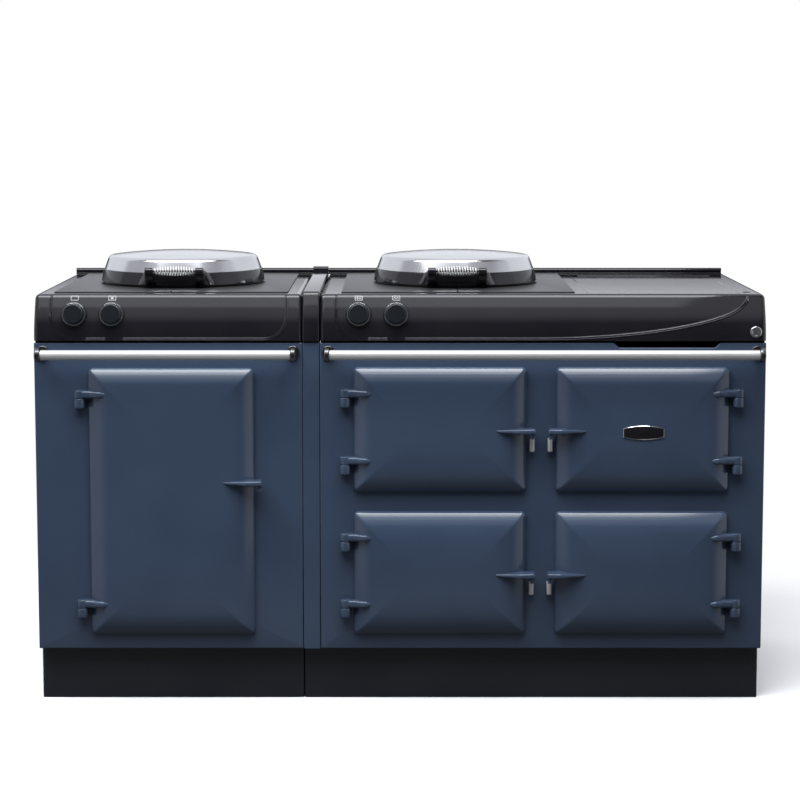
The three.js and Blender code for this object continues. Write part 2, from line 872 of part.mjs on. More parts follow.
// The fascia's curve in side view, from the deck down to its upright lower part.
const fasciaCurve = new THREE.CubicBezierCurve(
  new THREE.Vector2(fasciaTopSetback, hobHeight),
  new THREE.Vector2(fasciaTopSetback * fasciaShoulderShare, hobHeight),
  new THREE.Vector2(fasciaSetback + 1, hobHeight - fasciaShoulder),
  new THREE.Vector2(fasciaSetback, hobHeight - fasciaDrop),
);
const knobSeat = fasciaCurve.getPoint(knobAlong);
const knobTangent = fasciaCurve.getTangent(knobAlong);
const knobTilt = Math.atan2(-knobTangent.x, -knobTangent.y);

// The fascia's outline in front view, open over the deck. The right one sweeps up to a point.
function fasciaOutline(module, sweeps) {
  const x = [module.low + fasciaMargin, module.high - fasciaMargin];
  const low = apronBottom + fasciaBottom;
  const above = hobHeight + fasciaDrop;
  const arc = (centreX, start, steps = 5) => Array.from({ length: steps + 1 }, (_, i) => {
    const angle = start + (Math.PI / 2) * (i / steps);
    return [centreX + fasciaCorner * Math.cos(angle), low + fasciaCorner * (1 + Math.sin(angle))];
  });
  const start = arc(x[0] + fasciaCorner, Math.PI);
  if (!sweeps) return [...start, ...arc(x[1] - fasciaCorner, -Math.PI / 2), [x[1], above], [x[0], above]];
  const fromStart = ([run, rise]) => new THREE.Vector2(module.low + swooshStart + run, low + rise);
  const fromEnd = ([run, rise]) => new THREE.Vector2(x[1] - run, low + rise);
  const sweep = new THREE.CubicBezierCurve(
    fromStart([0, 0]),
    fromStart(swooshRun),
    fromEnd(swooshTurn),
    fromEnd(swooshEnd),
  ).getPoints(9).concat(fromEnd(swooshTip)).map((point) => [point.x, point.y]);
  return [...start, ...sweep, [x[1], hobHeight], [x[1], above], [x[0], above]];
}

// A rectangle whose two upper corners are round.
function roundTopped(x, z, steps = 3) {
  const arc = (centreX, start) => Array.from({ length: steps + 1 }, (_, i) => {
    const angle = start + (Math.PI / 2) * (i / steps);
    return [centreX + sideRoll * Math.cos(angle), z[1] - sideRoll * (1 - Math.sin(angle))];
  });
  return [[x[0], z[0]], [x[1], z[0]], ...arc(x[1] - sideRoll, 0), ...arc(x[0] + sideRoll, Math.PI / 2)];
}

function topPlate(module, sweeps, hobCentre) {
  const x = [module.low, module.high];
  const face = -apronOverhang;

  // Rolled block: side profile, front profile and plan, crossed with each other.
  const side = sideExtrusion(polygon(
    rolledProfile(face, hobHeight, frontRoll, deckBack, apronBottom),
  ), x);
  const front = frontExtrusion(polygon(roundTopped(x, [apronBottom, hobHeight])), [face, deckBack]);
  const plan = planExtrusion(
    polygon(roundTopped(x, [-deckBack, -face]).map(([px, py]) => [px, -py])),
    [apronBottom, hobHeight],
  );
  const shell = side.intersect(front).intersect(plan);

  // The fascia's body stands back inside an outline with a sloping lip.
  const outline = fasciaOutline(module, sweeps);
  const ringAt = (grow, y) => grownLoop(outline, grow).map(([px, pz]) => new THREE.Vector3(px, y, pz));
  const recess = loft([
    ringAt(0, fasciaTopSetback + fasciaRecessDepth),
    ringAt(0, face + fasciaLipDepth),
    ringAt(fasciaLip, face),
    ringAt(fasciaLip, face - past),
  ]);
  const curve = fasciaCurve.getPoints(8).map((point) => [point.x, point.y]);
  const fasciaBody = sideExtrusion(polygon([
    ...curve,
    [fasciaSetback, apronBottom],
    [fasciaTopSetback + fasciaBodyDepth, apronBottom],
    [fasciaTopSetback + fasciaBodyDepth, hobHeight],
  ]), x).intersect(shell);
  let casting = join(shell.subtract(recess), fasciaBody.intersect(recess));

  // The upstand along the wall.
  const upstandTop = hobHeight + upstandHeight;
  const upstandFront = deckBack - upstandThickness;
  casting = join(casting, sideExtrusion(polygon([
    [upstandFront, hobHeight - castIn],
    [deckBack, hobHeight - castIn],
    [deckBack, upstandTop],
    [upstandFront + upstandSlope, upstandTop],
    [upstandFront + upstandSlope - upstandEdgeRound, upstandTop - upstandEdgeRound],
  ]), x));

  // Open underneath: the deck, the apron and the side walls keep their thickness.
  const backOfFascia = fasciaSetback + castingWall;
  const underside = hobHeight - deckThickness;
  casting = casting.subtract(sideExtrusion(polygon([
    [backOfFascia, apronBottom - past],
    [backOfFascia, hobHeight - fasciaHollowDrop],
    [backOfFascia + fasciaHollowSlope[0], underside - fasciaHollowSlope[1]],
    [fasciaTopSetback + fasciaHollowBack, underside],
    [deckBack - castingWall, underside],
    [deckBack - castingWall, apronBottom - past],
  ]), inset(x, castingWall)));

  // A rebate for the hob cover plates and the round seat of the hotplate.
  const seat = hobHeight + hobPlateProud - hobPlateThickness;
  const plate = hobPlate(hobCentre);
  casting = casting
    .subtract(planExtrusion(roundedRectangle(
      [plate.x[0] - seatGap, plate.y[0] - seatGap],
      [plate.x[1] + seatGap, plate.y[1] + seatGap],
      hobPlateCorner,
    ), [seat, hobHeight + past], 1))
    .subtract(turned([
      [0, underside - past],
      [hotplateRadius - hotplateSeatWidth, underside - past],
      [hotplateRadius - hotplateSeatWidth, seat + past],
      [0, seat + past],
    ], lidSides).translate([hobCentre, lidCentre, 0]));
  return casting;
}

// Both hobs have the same cover plates, which take their width from the left module.
const hobPlateWidth = leftModuleWidth - 2 * hobPlateMargin;
const hobPlate = (centre) => ({
  x: [centre - hobPlateWidth / 2, centre + hobPlateWidth / 2],
  y: [hobPlateFront, deckBack - upstandThickness - hobPlateBackGap],
});

// A raised seat for a knob, square to the fascia, with the hole for its spindle.
const knobNormal = new THREE.Vector3(0, -Math.cos(knobTilt), Math.sin(knobTilt));
const onKnobAxis = (x, out) => [x, knobSeat.x + knobNormal.y * out, knobSeat.y + knobNormal.z * out];
function withKnobSeat(casting, x) {
  return casting
    .add(bar(
      onKnobAxis(x, -knobBossRoot),
      onKnobAxis(x, knobBossRise),
      knobFlangeRadius + knobBossMargin,
      discSides,
    ))
    .subtract(bar(
      onKnobAxis(x, -knobSpindleLength - past),
      onKnobAxis(x, knobBossRise + past),
      knobSpindleRadius + 2 * pinClearance,
      smallSides,
    ));
}

const leftHob = left.low + leftModuleWidth / 2 + leftHobOffset;
const rightHob = right.low + rightHobOffset + hobPlateWidth / 2;
const knobs = [
  ['knob_left_upper_oven', left.low + leftKnobOffset],
  ['knob_left_lower_oven', left.low + leftKnobOffset + knobPitch],
  ['knob_right_hob', right.low + rightKnobOffset],
  ['knob_right_ovens', right.low + rightKnobOffset + knobPitch],
];

let leftTop = topPlate(left, false, leftHob);
knobs.slice(0, 2).forEach(([, x]) => { leftTop = withKnobSeat(leftTop, x); });
place('top_plate_left', leftTop, blackEnamel);

let rightTop = topPlate(right, true, rightHob);
knobs.slice(2).forEach(([, x]) => { rightTop = withKnobSeat(rightTop, x); });

// The warming area at the right: a shallow groove round it and vent slots behind it.
const warming = {
  x: [rightHob + hobPlateWidth / 2 + warmingLeft, right.high - warmingRight],
  y: [warmingFront, warmingBack],
};
const grooveFloor = [hobHeight - grooveDepth, hobHeight + past];
warming.x.forEach((x) => {
  rightTop = rightTop.subtract(block([x, x + grooveWidth], warming.y, grooveFloor));
});
for (let i = 0; i < ventSlots; i += 1) {
  const back = warmingBack - ventSlotBack - i * ventSlotPitch;
  rightTop = rightTop.subtract(block(
    inset(warming.x, ventSlotInset),
    [back - ventSlotWidth, back],
    [hobHeight - deckThickness - past, hobHeight + past],
  ));
}

// A shallow round dimple beside the warming area.
rightTop = rightTop.subtract(turned([
  [0, hobHeight - dimpleDepth],
  [dimpleDiameter / 2 - dimpleDepth, hobHeight - dimpleDepth],
  [dimpleDiameter / 2 + dimpleDepth, hobHeight + dimpleDepth],
  [0, hobHeight + dimpleDepth],
], smallSides).translate([right.high - dimpleFromSide, dimpleFromFront, 0]));

// The pocket of the push button in the apron's right end.
const buttonX = right.high - buttonFromSide;
const buttonZ = apronBottom + buttonAboveApron;
const pocketDepth = buttonProud + buttonTravel + buttonRoot;
rightTop = rightTop.subtract(bar(
  [buttonX, -apronOverhang - past, buttonZ],
  [buttonX, -apronOverhang + pocketDepth, buttonZ],
  buttonRadius + buttonClearance,
  discSides,
));
place('top_plate_right', rightTop, blackEnamel);

// ---------- Hob cover plates and hotplates ----------

// Each hob has two cover plates that meet on its centre line and leave room for the hotplate.
function hobCover(centre, half) {
  const plate = hobPlate(centre);
  const z = [hobHeight + hobPlateProud - hobPlateThickness, hobHeight + hobPlateProud];
  const whole = planExtrusion(roundedRectangle(
    [plate.x[0], plate.y[0]],
    [plate.x[1], plate.y[1]],
    hobPlateCorner,
  ), z, 1);
  const keep = half < 0
    ? [plate.x[0] - past, centre - seamGap / 2]
    : [centre + seamGap / 2, plate.x[1] + past];
  const hole = turned([
    [0, z[0] - past],
    [hotplateRadius + hotplateGap, z[0] - past],
    [hotplateRadius + hotplateGap, z[1] + past],
    [0, z[1] + past],
  ], lidSides).translate([centre, lidCentre, 0]);
  const earX = centre + half * (lidBarrelLength / 2 + seatGap);
  const axis = { y: lidCentre + skirtBottomRadius + lidHingeOut, z: z[1] + lidHingeHeight };
  const ear = join(
    bar([earX, axis.y, axis.z], [earX + half * lidEarWidth, axis.y, axis.z], lidBarrelRadius),
    block(
      [earX, earX + half * lidEarWidth].sort((a, b) => a - b),
      inset([axis.y - lidBarrelRadius, axis.y + lidBarrelRadius], lidEarInset),
      [z[1] - castIn, axis.z],
    ),
    bar(
      [earX + half * lidPinRoot, axis.y, axis.z],
      [earX - half * lidPinReach, axis.y, axis.z],
      lidPinRadius,
      pinSides,
    ),
  );
  const halfPlate = whole.subtract(hole).intersect(block(keep, inset(plate.y, -past), inset(z, -past)));
  return halfPlate.add(ear);
}

// A cast hotplate: a thick ground disc that rests on the seat, over its heater housing.
function hotplate(centre) {
  const seat = hobHeight + hobPlateProud - hobPlateThickness;
  const top = hobHeight + hotplateProud;
  const body = hotplateRadius - hotplateSeatWidth - hotplateGap;
  return turned([
    [0, seat - hotplateBodyDepth],
    [body, seat - hotplateBodyDepth],
    [body, seat],
    [hotplateRadius, seat],
    [hotplateRadius, top - hotplateEdgeRound],
    [hotplateRadius - hotplateEdgeRound, top],
    [0, top],
  ], lidSides).translate([centre, lidCentre, 0]);
}

// ---------- Lids ----------

// The lid's radii follow from the top of its skirt.
const skirtBottomRadius = skirtTopRadius + skirtFlare;
const footRadius = skirtBottomRadius - footInset;
const domeRimRadius = skirtTopRadius - domeRimInset;
const domeShoulderRadius = domeRimRadius - domeShoulderInset;
const coilAxisOut = skirtBottomRadius + coilStandoff;

// The black skirt is an insulated pan that stands on a foot ring and hinges at the back.
function lidBase() {
  const rim = footHeight + skirtHeight;
  return [
    [0, footHeight],
    [footRadius - footWidth, footHeight],
    [footRadius - footWidth, 0],
    [footRadius, 0],
    [footRadius, footHeight],
    [skirtBottomRadius, footHeight],
    [skirtTopRadius, rim],
    [skirtTopRadius - skirtWall, rim],
    [skirtBottomRadius - skirtWall, footHeight + skirtWall],
    [0, footHeight + skirtWall],
  ];
}

// The polished dome: an upright rim, a tight shoulder and a shallow crown.
function domeSkin(offset, shoulderSteps, crownSteps) {
  const rim = footHeight + skirtHeight + seatGap;
  const shoulder = rim + domeShoulderHeight;
  const crown = rim + domeHeight;
  const points = [[domeRimRadius - offset, rim]];
  for (let i = 0; i <= shoulderSteps; i += 1) {
    const angle = (Math.PI / 2) * domeShoulderTurn * (i / shoulderSteps);
    points.push([
      domeShoulderRadius - domeShoulderRound + (domeShoulderRound - offset) * Math.cos(angle)
        + domeFlare * (1 - i / shoulderSteps),
      shoulder - domeShoulderRound * domeShoulderDrop + (domeShoulderRound - offset) * Math.sin(angle),
    ]);
  }
  const last = points[points.length - 1];
  for (let i = 1; i <= crownSteps; i += 1) {
    const share = 1 - i / crownSteps;
    points.push([last[0] * share, crown - offset - (crown - offset - last[1]) * share ** 2]);
  }
  return points;
}

// A lid bracket's post, from its root under the dome's rim out to the coil: how far out each
// section stands, how much it spreads on either side, and its underside and top.
const postSections = [
  { out: skirtTopRadius - 30, spread: 12, low: footHeight + 3, high: coilAxisHeight - 8 },
  { out: skirtTopRadius, spread: 7, low: footHeight + 5, high: coilAxisHeight - 4 },
  { out: skirtBottomRadius + 6, spread: 0, low: footHeight + 10, high: coilAxisHeight + 2 },
  { out: coilAxisOut, spread: 0, low: coilAxisHeight - 10, high: coilAxisHeight + 5 },
];

// The bracket: two posts, the bar between them and the rod that the coil is wound round.
function lidBracket() {
  const onCoilAxis = (x) => [x, -coilAxisOut, coilAxisHeight];
  const post = (side) => {
    const x = inset([side * postOffset, side * postOffset], -postWidth / 2);
    return join(
      loft(postSections.map(({ out, spread, low, high }) => rectangleRing(
        [x[0] - spread, low],
        [x[1] + spread, high],
        postCornerRadius,
        1,
      ).map(([px, pz]) => new THREE.Vector3(px, -out, pz)))),
      bar(onCoilAxis(x[0]), onCoilAxis(x[1]), postBossRadius),
    );
  };
  const crossbarTop = coilAxisHeight - crossbarBelowCoil;
  const crossbarFront = -skirtBottomRadius - crossbarStandoff;
  const crossbar = block(
    [-postOffset, postOffset],
    [crossbarFront, crossbarFront + crossbarThickness],
    [crossbarTop - crossbarHeight, crossbarTop],
  );
  const rod = bar(onCoilAxis(-postOffset), onCoilAxis(postOffset), coilRodRadius, pinSides);
  const above = coilAxisHeight + 2 * postBossRadius;
  const skirtSpace = turned([
    [0, 0],
    [footRadius + seatGap, 0],
    [skirtBottomRadius + seatGap, footHeight - seatGap],
    [skirtTopRadius + seatGap, footHeight + skirtHeight],
    [skirtTopRadius + seatGap, above],
    [0, above],
  ], lidSides);
  return join(post(-1), post(1), crossbar, rod).subtract(skirtSpace);
}

// The coil handle: one wire wound barrel-shaped round the rod, its ends straight into the posts.
const coilSteps = 8;
const coilSides = 5;
function coilRoute() {
  const straight = coilWire;
  const start = postWidth / 2 + seatGap - postOffset;
  const span = -2 * start - 2 * straight;
  const wireRadius = coilWire / 2;
  const total = coilTurns * coilSteps;
  const helix = Array.from({ length: total + 1 }, (_, i) => {
    const share = i / total;
    const bulge = Math.sin(Math.PI * share) ** coilBarrel;
    const radius = coilEndDiameter / 2 - wireRadius
      + (coilMiddleDiameter - coilEndDiameter) / 2 * bulge;
    const angle = 2 * Math.PI * coilTurns * share;
    return new THREE.Vector3(
      start + straight + span * share,
      radius * Math.cos(angle),
      radius * Math.sin(angle),
    );
  });
  const first = helix[0].clone().setX(start);
  const last = helix[total].clone().setX(-start);
  return [first, ...helix, last];
}

function coilGeometry(route) {
  const positions = [];
  const index = [];
  const up = new THREE.Vector3();
  route.forEach((point, i) => {
    const ahead = route[Math.min(i + 1, route.length - 1)];
    const behind = route[Math.max(i - 1, 0)];
    const tangent = ahead.clone().sub(behind).normalize();
    const outward = new THREE.Vector3(0, point.y, point.z).normalize();
    up.copy(outward).addScaledVector(tangent, -outward.dot(tangent)).normalize();
    const across = new THREE.Vector3().crossVectors(tangent, up);
    for (let k = 0; k < coilSides; k += 1) {
      const angle = 2 * Math.PI * (k / coilSides);
      const corner = point.clone()
        .addScaledVector(up, (coilWire / 2) * Math.cos(angle))
        .addScaledVector(across, (coilWire / 2) * Math.sin(angle));
      positions.push(...corner.toArray());
    }
  });
  for (let r = 0; r < route.length - 1; r += 1) {
    for (let k = 0; k < coilSides; k += 1) {
      const here = r * coilSides + k;
      const next = r * coilSides + ((k + 1) % coilSides);
      index.push(here, next, next + coilSides, here, next + coilSides, here + coilSides);
    }
  }
  for (let k = 1; k < coilSides - 1; k += 1) {
    const lastRing = (route.length - 1) * coilSides;
    index.push(0, k + 1, k);
    index.push(lastRing, lastRing + k, lastRing + k + 1);
  }
  const geometry = new THREE.BufferGeometry();
  geometry.setAttribute('position', new THREE.Float32BufferAttribute(positions, 3));
  geometry.setIndex(index);
  geometry.computeVertexNormals();
  return geometry;
}

// The least gap between stretches of wire that are more than half a turn apart.
function leastCoilGap(route) {
  const samples = [];
  for (let i = 0; i < route.length - 1; i += 1) {
    for (let step = 0; step < 4; step += 1) {
      samples.push(route[i].clone().lerp(route[i + 1], step / 4));
    }
  }
  let least = Infinity;
  const apart = coilSteps * 2;
  samples.forEach((point, i) => {
    for (let j = i + apart; j < samples.length; j += 1) {
      least = Math.min(least, point.distanceTo(samples[j]) - coilWire);
    }
  });
  return least;
}

const route = coilRoute();
console.log(`coil handle: least gap to itself ${leastCoilGap(route).toFixed(2)} mm`);

const hobs = [['left', leftHob], ['right', rightHob]];
hobs.forEach(([side, centre]) => {
  place(`hob_cover_${side}_1`, hobCover(centre, -1), blackEnamel);
  place(`hob_cover_${side}_2`, hobCover(centre, 1), blackEnamel);
  place(`hotplate_${side}`, hotplate(centre), blackIron);

  const lid = new THREE.Group();
  lid.position.set(centre, lidCentre, hobHeight + hobPlateProud);
  assembly.add(lid);

  const hingeY = skirtBottomRadius + lidHingeOut;
  const barrelHalf = lidBarrelLength / 2;
  const barrel = join(
    bar([-barrelHalf, hingeY, lidHingeHeight], [barrelHalf, hingeY, lidHingeHeight], lidBarrelRadius),
    block(
      [-barrelHalf, barrelHalf],
      [skirtTopRadius - lidBarrelSunk, hingeY],
      [lidHingeHeight - lidBarrelWeb / 2, lidHingeHeight + lidBarrelWeb / 2],
    ),
  );
  const pinHoles = [-1, 1].map((end) => bar(
    [end * (barrelHalf + past), hingeY, lidHingeHeight],
    [end * (barrelHalf - lidPinReach - past), hingeY, lidHingeHeight],
    lidPinRadius + 2 * pinClearance,
    pinSides,
  ));
  const base = pinHoles.reduce(
    (solid, hole) => solid.subtract(hole),
    join(turned(lidBase(), lidSides), barrel),
  );
  place(`lid_base_${side}`, base, blackEnamel, lid);

  const skin = [...domeSkin(domeWall, 2, 1).reverse(), ...domeSkin(0, 3, 3)];
  place(`lid_dome_${side}`, turned(skin, lidSides), chrome, lid);
  place(`lid_bracket_${side}`, lidBracket(), blackEnamel, lid);

  const coil = new THREE.Mesh(coilGeometry(route), chrome);
  coil.name = `lid_coil_${side}`;
  coil.position.set(0, -coilAxisOut, coilAxisHeight);
  lid.add(coil);
});

// ---------- Knobs and push button ----------

const knobProfile = [
  [0, -knobSpindleLength],
  [knobSpindleRadius, -knobSpindleLength],
  [knobSpindleRadius, 0],
  [knobFlangeRadius - knobEdge, 0],
  [knobFlangeRadius, knobEdge],
  [knobFlangeRadius - 1.5 * knobEdge, knobFlange],
  [knobRadius + knobEdge, knobFlange],
  [knobRadius, knobHeight - knobRound],
  [knobRadius - knobRound, knobHeight],
  [0, knobHeight],
];
knobs.forEach(([name, x]) => {
  const knob = place(name, turned(knobProfile, discSides), blackPlastic);
  knob.position.set(...onKnobAxis(x, knobBossRise + seatGap));
  knob.quaternion.setFromUnitVectors(new THREE.Vector3(0, 0, 1), knobNormal);
});

// The button's rim is round and its face is dished.
const buttonLength = buttonRoot + buttonProud;
const button = place('push_button', turned([
  [0, 0],
  [buttonRadius, 0],
  [buttonRadius, buttonLength - buttonRound],
  [buttonRadius - buttonRound, buttonLength],
  [buttonRadius - buttonRing, buttonLength - buttonDish],
  [0, buttonLength - 1.5 * buttonDish],
], discSides), brushedSteel);
button.position.set(buttonX, -apronOverhang + buttonRoot, buttonZ);
button.rotation.x = Math.PI / 2;

// ---------- Towel rails ----------

const railZ = panelTop - railBelowPanelTop;
[['left', left], ['right', right]].forEach(([side, module]) => {
  const ends = inset([module.low, module.high], railEndInset);
  const x = inset(ends, bracketWidth);
  const ring = new THREE.Shape().absarc(-railStandoff, railZ, railRadius, 0, Math.PI * 2);
  ring.holes.push(new THREE.Path().absarc(-railStandoff, railZ, railRadius - railWall, 0, Math.PI * 2));
  place(`towel_rail_${side}`, sideExtrusion(ring, x, 8), brushedSteel);

  [['1', ends[0], 1], ['2', ends[1], -1]].forEach(([number, end, inward]) => {
    const middle = end + inward * bracketWidth / 2;
    const onRail = (at) => [at, -railStandoff, railZ];
    const stemEnd = [middle, -bracketFootDepth + bracketFootLap, railZ];
    const bracket = join(
      bar(onRail(end), onRail(end + inward * bracketWidth), bracketCupRadius, cupSides),
      bar(onRail(middle), stemEnd, bracketStemRadius),
      bar([middle, -bracketFootDepth, railZ], [middle, 0, railZ], bracketFootRadius),
    );
    place(`rail_bracket_${side}_${number}`, bracket, blackEnamel);
  });
});

export default assembly;
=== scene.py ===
import math

import bmesh
import bpy
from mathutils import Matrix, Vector


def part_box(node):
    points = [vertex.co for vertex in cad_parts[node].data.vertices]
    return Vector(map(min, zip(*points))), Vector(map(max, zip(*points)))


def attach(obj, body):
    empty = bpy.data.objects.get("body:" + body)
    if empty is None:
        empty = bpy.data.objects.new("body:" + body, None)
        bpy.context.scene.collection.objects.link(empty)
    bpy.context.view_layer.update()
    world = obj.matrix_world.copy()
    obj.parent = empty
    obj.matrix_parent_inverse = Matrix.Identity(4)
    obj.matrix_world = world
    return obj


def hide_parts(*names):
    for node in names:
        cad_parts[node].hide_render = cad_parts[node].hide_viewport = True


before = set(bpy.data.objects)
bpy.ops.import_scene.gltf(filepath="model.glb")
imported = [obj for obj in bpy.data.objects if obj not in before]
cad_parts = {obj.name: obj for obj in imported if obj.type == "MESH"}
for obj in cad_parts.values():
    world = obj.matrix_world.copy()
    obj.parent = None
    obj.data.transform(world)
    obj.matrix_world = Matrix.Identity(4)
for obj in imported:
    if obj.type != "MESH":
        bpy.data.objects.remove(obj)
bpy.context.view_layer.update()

# Camera: a long lens a little above hob height, straight in front of the cooker, tipped down
# slightly as in the photograph.
lens_mm = 98.5
camera_distance = -5.068
camera_height = 1.312
camera_tip = math.radians(6.48)
camera_shift = -0.05
camera = bpy.data.objects.new("camera", bpy.data.cameras.new("camera"))
bpy.context.scene.collection.objects.link(camera)
camera.data.sensor_width = 36
camera.data.lens = lens_mm
camera.data.shift_y = camera_shift
camera.location = (0, camera_distance, camera_height)
camera.rotation_euler = (math.pi / 2 - camera_tip, 0, 0)
bpy.context.scene.camera = camera
bpy.context.scene.view_settings.view_transform = "Standard"


# Studio: a white surround that the camera sees, a darker room that the enamel mirrors, and four
# long soft lights overhead. The enamel mirrors three of them as strips, and the fourth only fills.
class Field:
    """Wraps a node's output socket, so that shader maths reads as arithmetic."""

    def __init__(self, socket):
        self.socket = socket
        self.tree = socket.id_data

    def node(self, kind, settings, inputs, output=0):
        made = self.tree.nodes.new(kind)
        for key, value in settings.items():
            setattr(made, key, value)
        for key, value in inputs.items():
            if isinstance(value, Field):
                self.tree.links.new(value.socket, made.inputs[key])
            else:
                made.inputs[key].default_value = value
        return Field(made.outputs[output])

    def math(self, operation, *values):
        return self.node("ShaderNodeMath", {"operation": operation}, dict(enumerate((self, *values))))

    def __add__(self, other):
        return self.math("ADD", other)

    __radd__ = __add__

    def __sub__(self, other):
        return self.math("SUBTRACT", other)

    def __rsub__(self, other):
        return self.math("MULTIPLY_ADD", -1, other)

    def __mul__(self, other):
        return self.math("MULTIPLY", other)

    __rmul__ = __mul__

    def __truediv__(self, other):
        return self.math("DIVIDE", other)

    def ramp(self, low, high):
        """Smoothly from 0 at low to 1 at high."""
        settings = {"interpolation_type": "SMOOTHSTEP"}
        return self.node("ShaderNodeMapRange", settings, {0: self, 1: low, 2: high})

    def mix(self, dark, light):
        """A colour between two colours, by this value."""
        settings = {"data_type": "RGBA"}
        return self.node("ShaderNodeMix", settings, {0: self, 6: dark, 7: light}, 2)

    def axes(self):
        """The three parts of a vector."""
        split = self.tree.nodes.new("ShaderNodeSeparateXYZ")
        self.tree.links.new(self.socket, split.inputs[0])
        return [Field(part) for part in split.outputs]


def grey(level, alpha=1):
    return (level, level, level, alpha)


def seen_by_camera(tree):
    return Field(tree.nodes.new("ShaderNodeLightPath").outputs["Is Camera Ray"])


world = bpy.data.worlds.new("studio")
bpy.context.scene.world = world
world.use_nodes = True
world.node_tree.nodes.clear()
direction = Field(world.node_tree.nodes.new("ShaderNodeTexCoord").outputs["Generated"])
sideways, backwards, upwards = direction.axes()
room_dark, wall_behind, wall_left, wall_right, wall_front, ceiling = 0.08, 1.1, 0.5, 0.75, 0.65, 1.1
behind = backwards.ramp(0.0, 0.3) * upwards.ramp(0.0742, 0.0865)
leftwards = (sideways * -1).ramp(0.4, 0.85)
rightwards = sideways.ramp(0.55, 0.95)
in_front = (backwards * -1).ramp(0.3, 0.6) * upwards.ramp(0.40, 0.66)
overhead = upwards.ramp(0.92, 0.99)
level = behind * wall_behind + leftwards * wall_left + rightwards * wall_right
level = level + in_front * wall_front + overhead * ceiling + room_dark
room_white = (0.97, 0.99, 1.06, 1)
room = level.mix(grey(0), room_white)
surround = level.node("ShaderNodeBackground", {}, {"Color": room, "Strength": 1})
white = level.node("ShaderNodeBackground", {}, {"Color": grey(1), "Strength": 1})
shown = level.node("ShaderNodeMixShader", {}, {0: seen_by_camera(world.node_tree), 1: surround, 2: white})
world_output = world.node_tree.nodes.new("ShaderNodeOutputWorld")
world.node_tree.links.new(shown.socket, world_output.inputs["Surface"])


def soft_light(name, place, target, width, height, watts, mirrored=True):
    """A soft rectangle of cool light, seen only in what it lights and, if mirrored, in the gloss."""
    light = bpy.data.lights.new(name, "AREA")
    light.shape = "RECTANGLE"
    light.size, light.size_y, light.energy = width, height, watts
    light.color = light_tint
    lamp = bpy.data.objects.new(name, light)
    lamp.location = place
    lamp.rotation_euler = (Vector(target) - Vector(place)).to_track_quat("-Z", "Y").to_euler()
    lamp.visible_camera = False
    lamp.visible_glossy = mirrored
    bpy.context.scene.collection.objects.link(lamp)


light_tint = (0.96, 0.98, 1.0)
light_x, light_z, light_length = -0.6, 2.9, 3.2
light_strips = (
    ("light_above", -0.80, 0.60, 66),
    ("light_before", -1.35, 0.50, 27),
    ("light_front", -2.00, 0.80, 9),
)
for name, y, depth, watts in light_strips:
    soft_light(name, (light_x, y, light_z), (light_x, y, 0), light_length, depth, watts)
fill_y, fill_z, fill_target_y, fill_depth, fill_watts = -1.9, 2.95, -1.7, 2.1, 110
fill_place, fill_target = (light_x, fill_y, fill_z), (light_x, fill_target_y, 0)
soft_light("light_fill", fill_place, fill_target, light_length, fill_depth, fill_watts, mirrored=False)


def new_material(name):
    """A material, its Principled node, and the place of each point in metres."""
    material = bpy.data.materials.new(name)
    material.use_nodes = True
    nodes = material.node_tree.nodes
    place = Field(nodes.new("ShaderNodeTexCoord").outputs["Object"])
    return material, nodes["Principled BSDF"], place


def noise(place, scale, detail=2.0, stretch=(1, 1, 1)):
    """Noise of about that many lumps per metre, stretched along an axis by a small factor there."""
    mapped = place.node("ShaderNodeMapping", {}, {"Vector": place, "Scale": stretch})
    return mapped.node("ShaderNodeTexNoise", {}, {"Vector": mapped, "Scale": scale, "Detail": detail})


def feed(shader, **inputs):
    """Sets or links inputs of a Principled node; an underscore stands for a space."""
    for name, value in inputs.items():
        socket = shader.inputs[name.replace("_", " ")]
        if isinstance(value, Field):
            shader.id_data.links.new(value.socket, socket)
        else:
            socket.default_value = value


def bump(height, strength, depth):
    inputs = {"Strength": strength, "Distance": depth, "Height": height}
    return height.node("ShaderNodeBump", {}, inputs)


# Floor: a white sheet that shows the cooker's shadow, and that the enamel mirrors as a dim one.
floor_material, floor_shader, floor_place = new_material("floor_white")
floor_cloud = noise(floor_place, 3).ramp(0.3, 0.7)
floor_seen = floor_cloud.mix(grey(0.9), grey(0.92))
floor_mirrored = grey(0.09)
floor_colour = floor_cloud.node(
    "ShaderNodeMix",
    {"data_type": "RGBA"},
    {0: seen_by_camera(floor_material.node_tree), 6: floor_mirrored, 7: floor_seen},
    2,
)
floor_reach = 2.2
fade_start, fade_end = 0.45 * floor_reach, 0.95 * floor_reach
along, into, _ = floor_place.axes()
floor_distance = (along * along + into * into).math("SQRT")
feed(
    floor_shader,
    Base_Color=floor_colour,
    Roughness=0.9,
    Specular_IOR_Level=0.0,
    Alpha=(floor_distance * -1).ramp(-fade_end, -fade_start),
)
bm = bmesh.new()
bmesh.ops.create_grid(bm, x_segments=4, y_segments=4, size=floor_reach)
floor_mesh = bpy.data.meshes.new("floor")
bm.to_mesh(floor_mesh)
bm.free()
floor_mesh.materials.append(floor_material)
floor = bpy.data.objects.new("floor", floor_mesh)
bpy.context.scene.collection.objects.link(floor)


# Enamel and metal finishes that several groups share: glossy stove enamel with a faint orange
# peel, satin paints, polished chrome and brushed steel.
def enamel(name, deep, pale, roughness=0.1, peel=0.02):
    """Fired enamel or paint, a little cloudy, with a peel of that height on the gloss."""
    material, shader, place = new_material(name)
    cloud = noise(place, 7, 3)
    grain = noise(place, 260, 1)
    feed(
        shader,
        Base_Color=cloud.ramp(0.3, 0.7).mix(deep, pale),
        Roughness=cloud * 0.03 + roughness,
        Normal=bump(grain, peel, 0.001),
    )
    return material


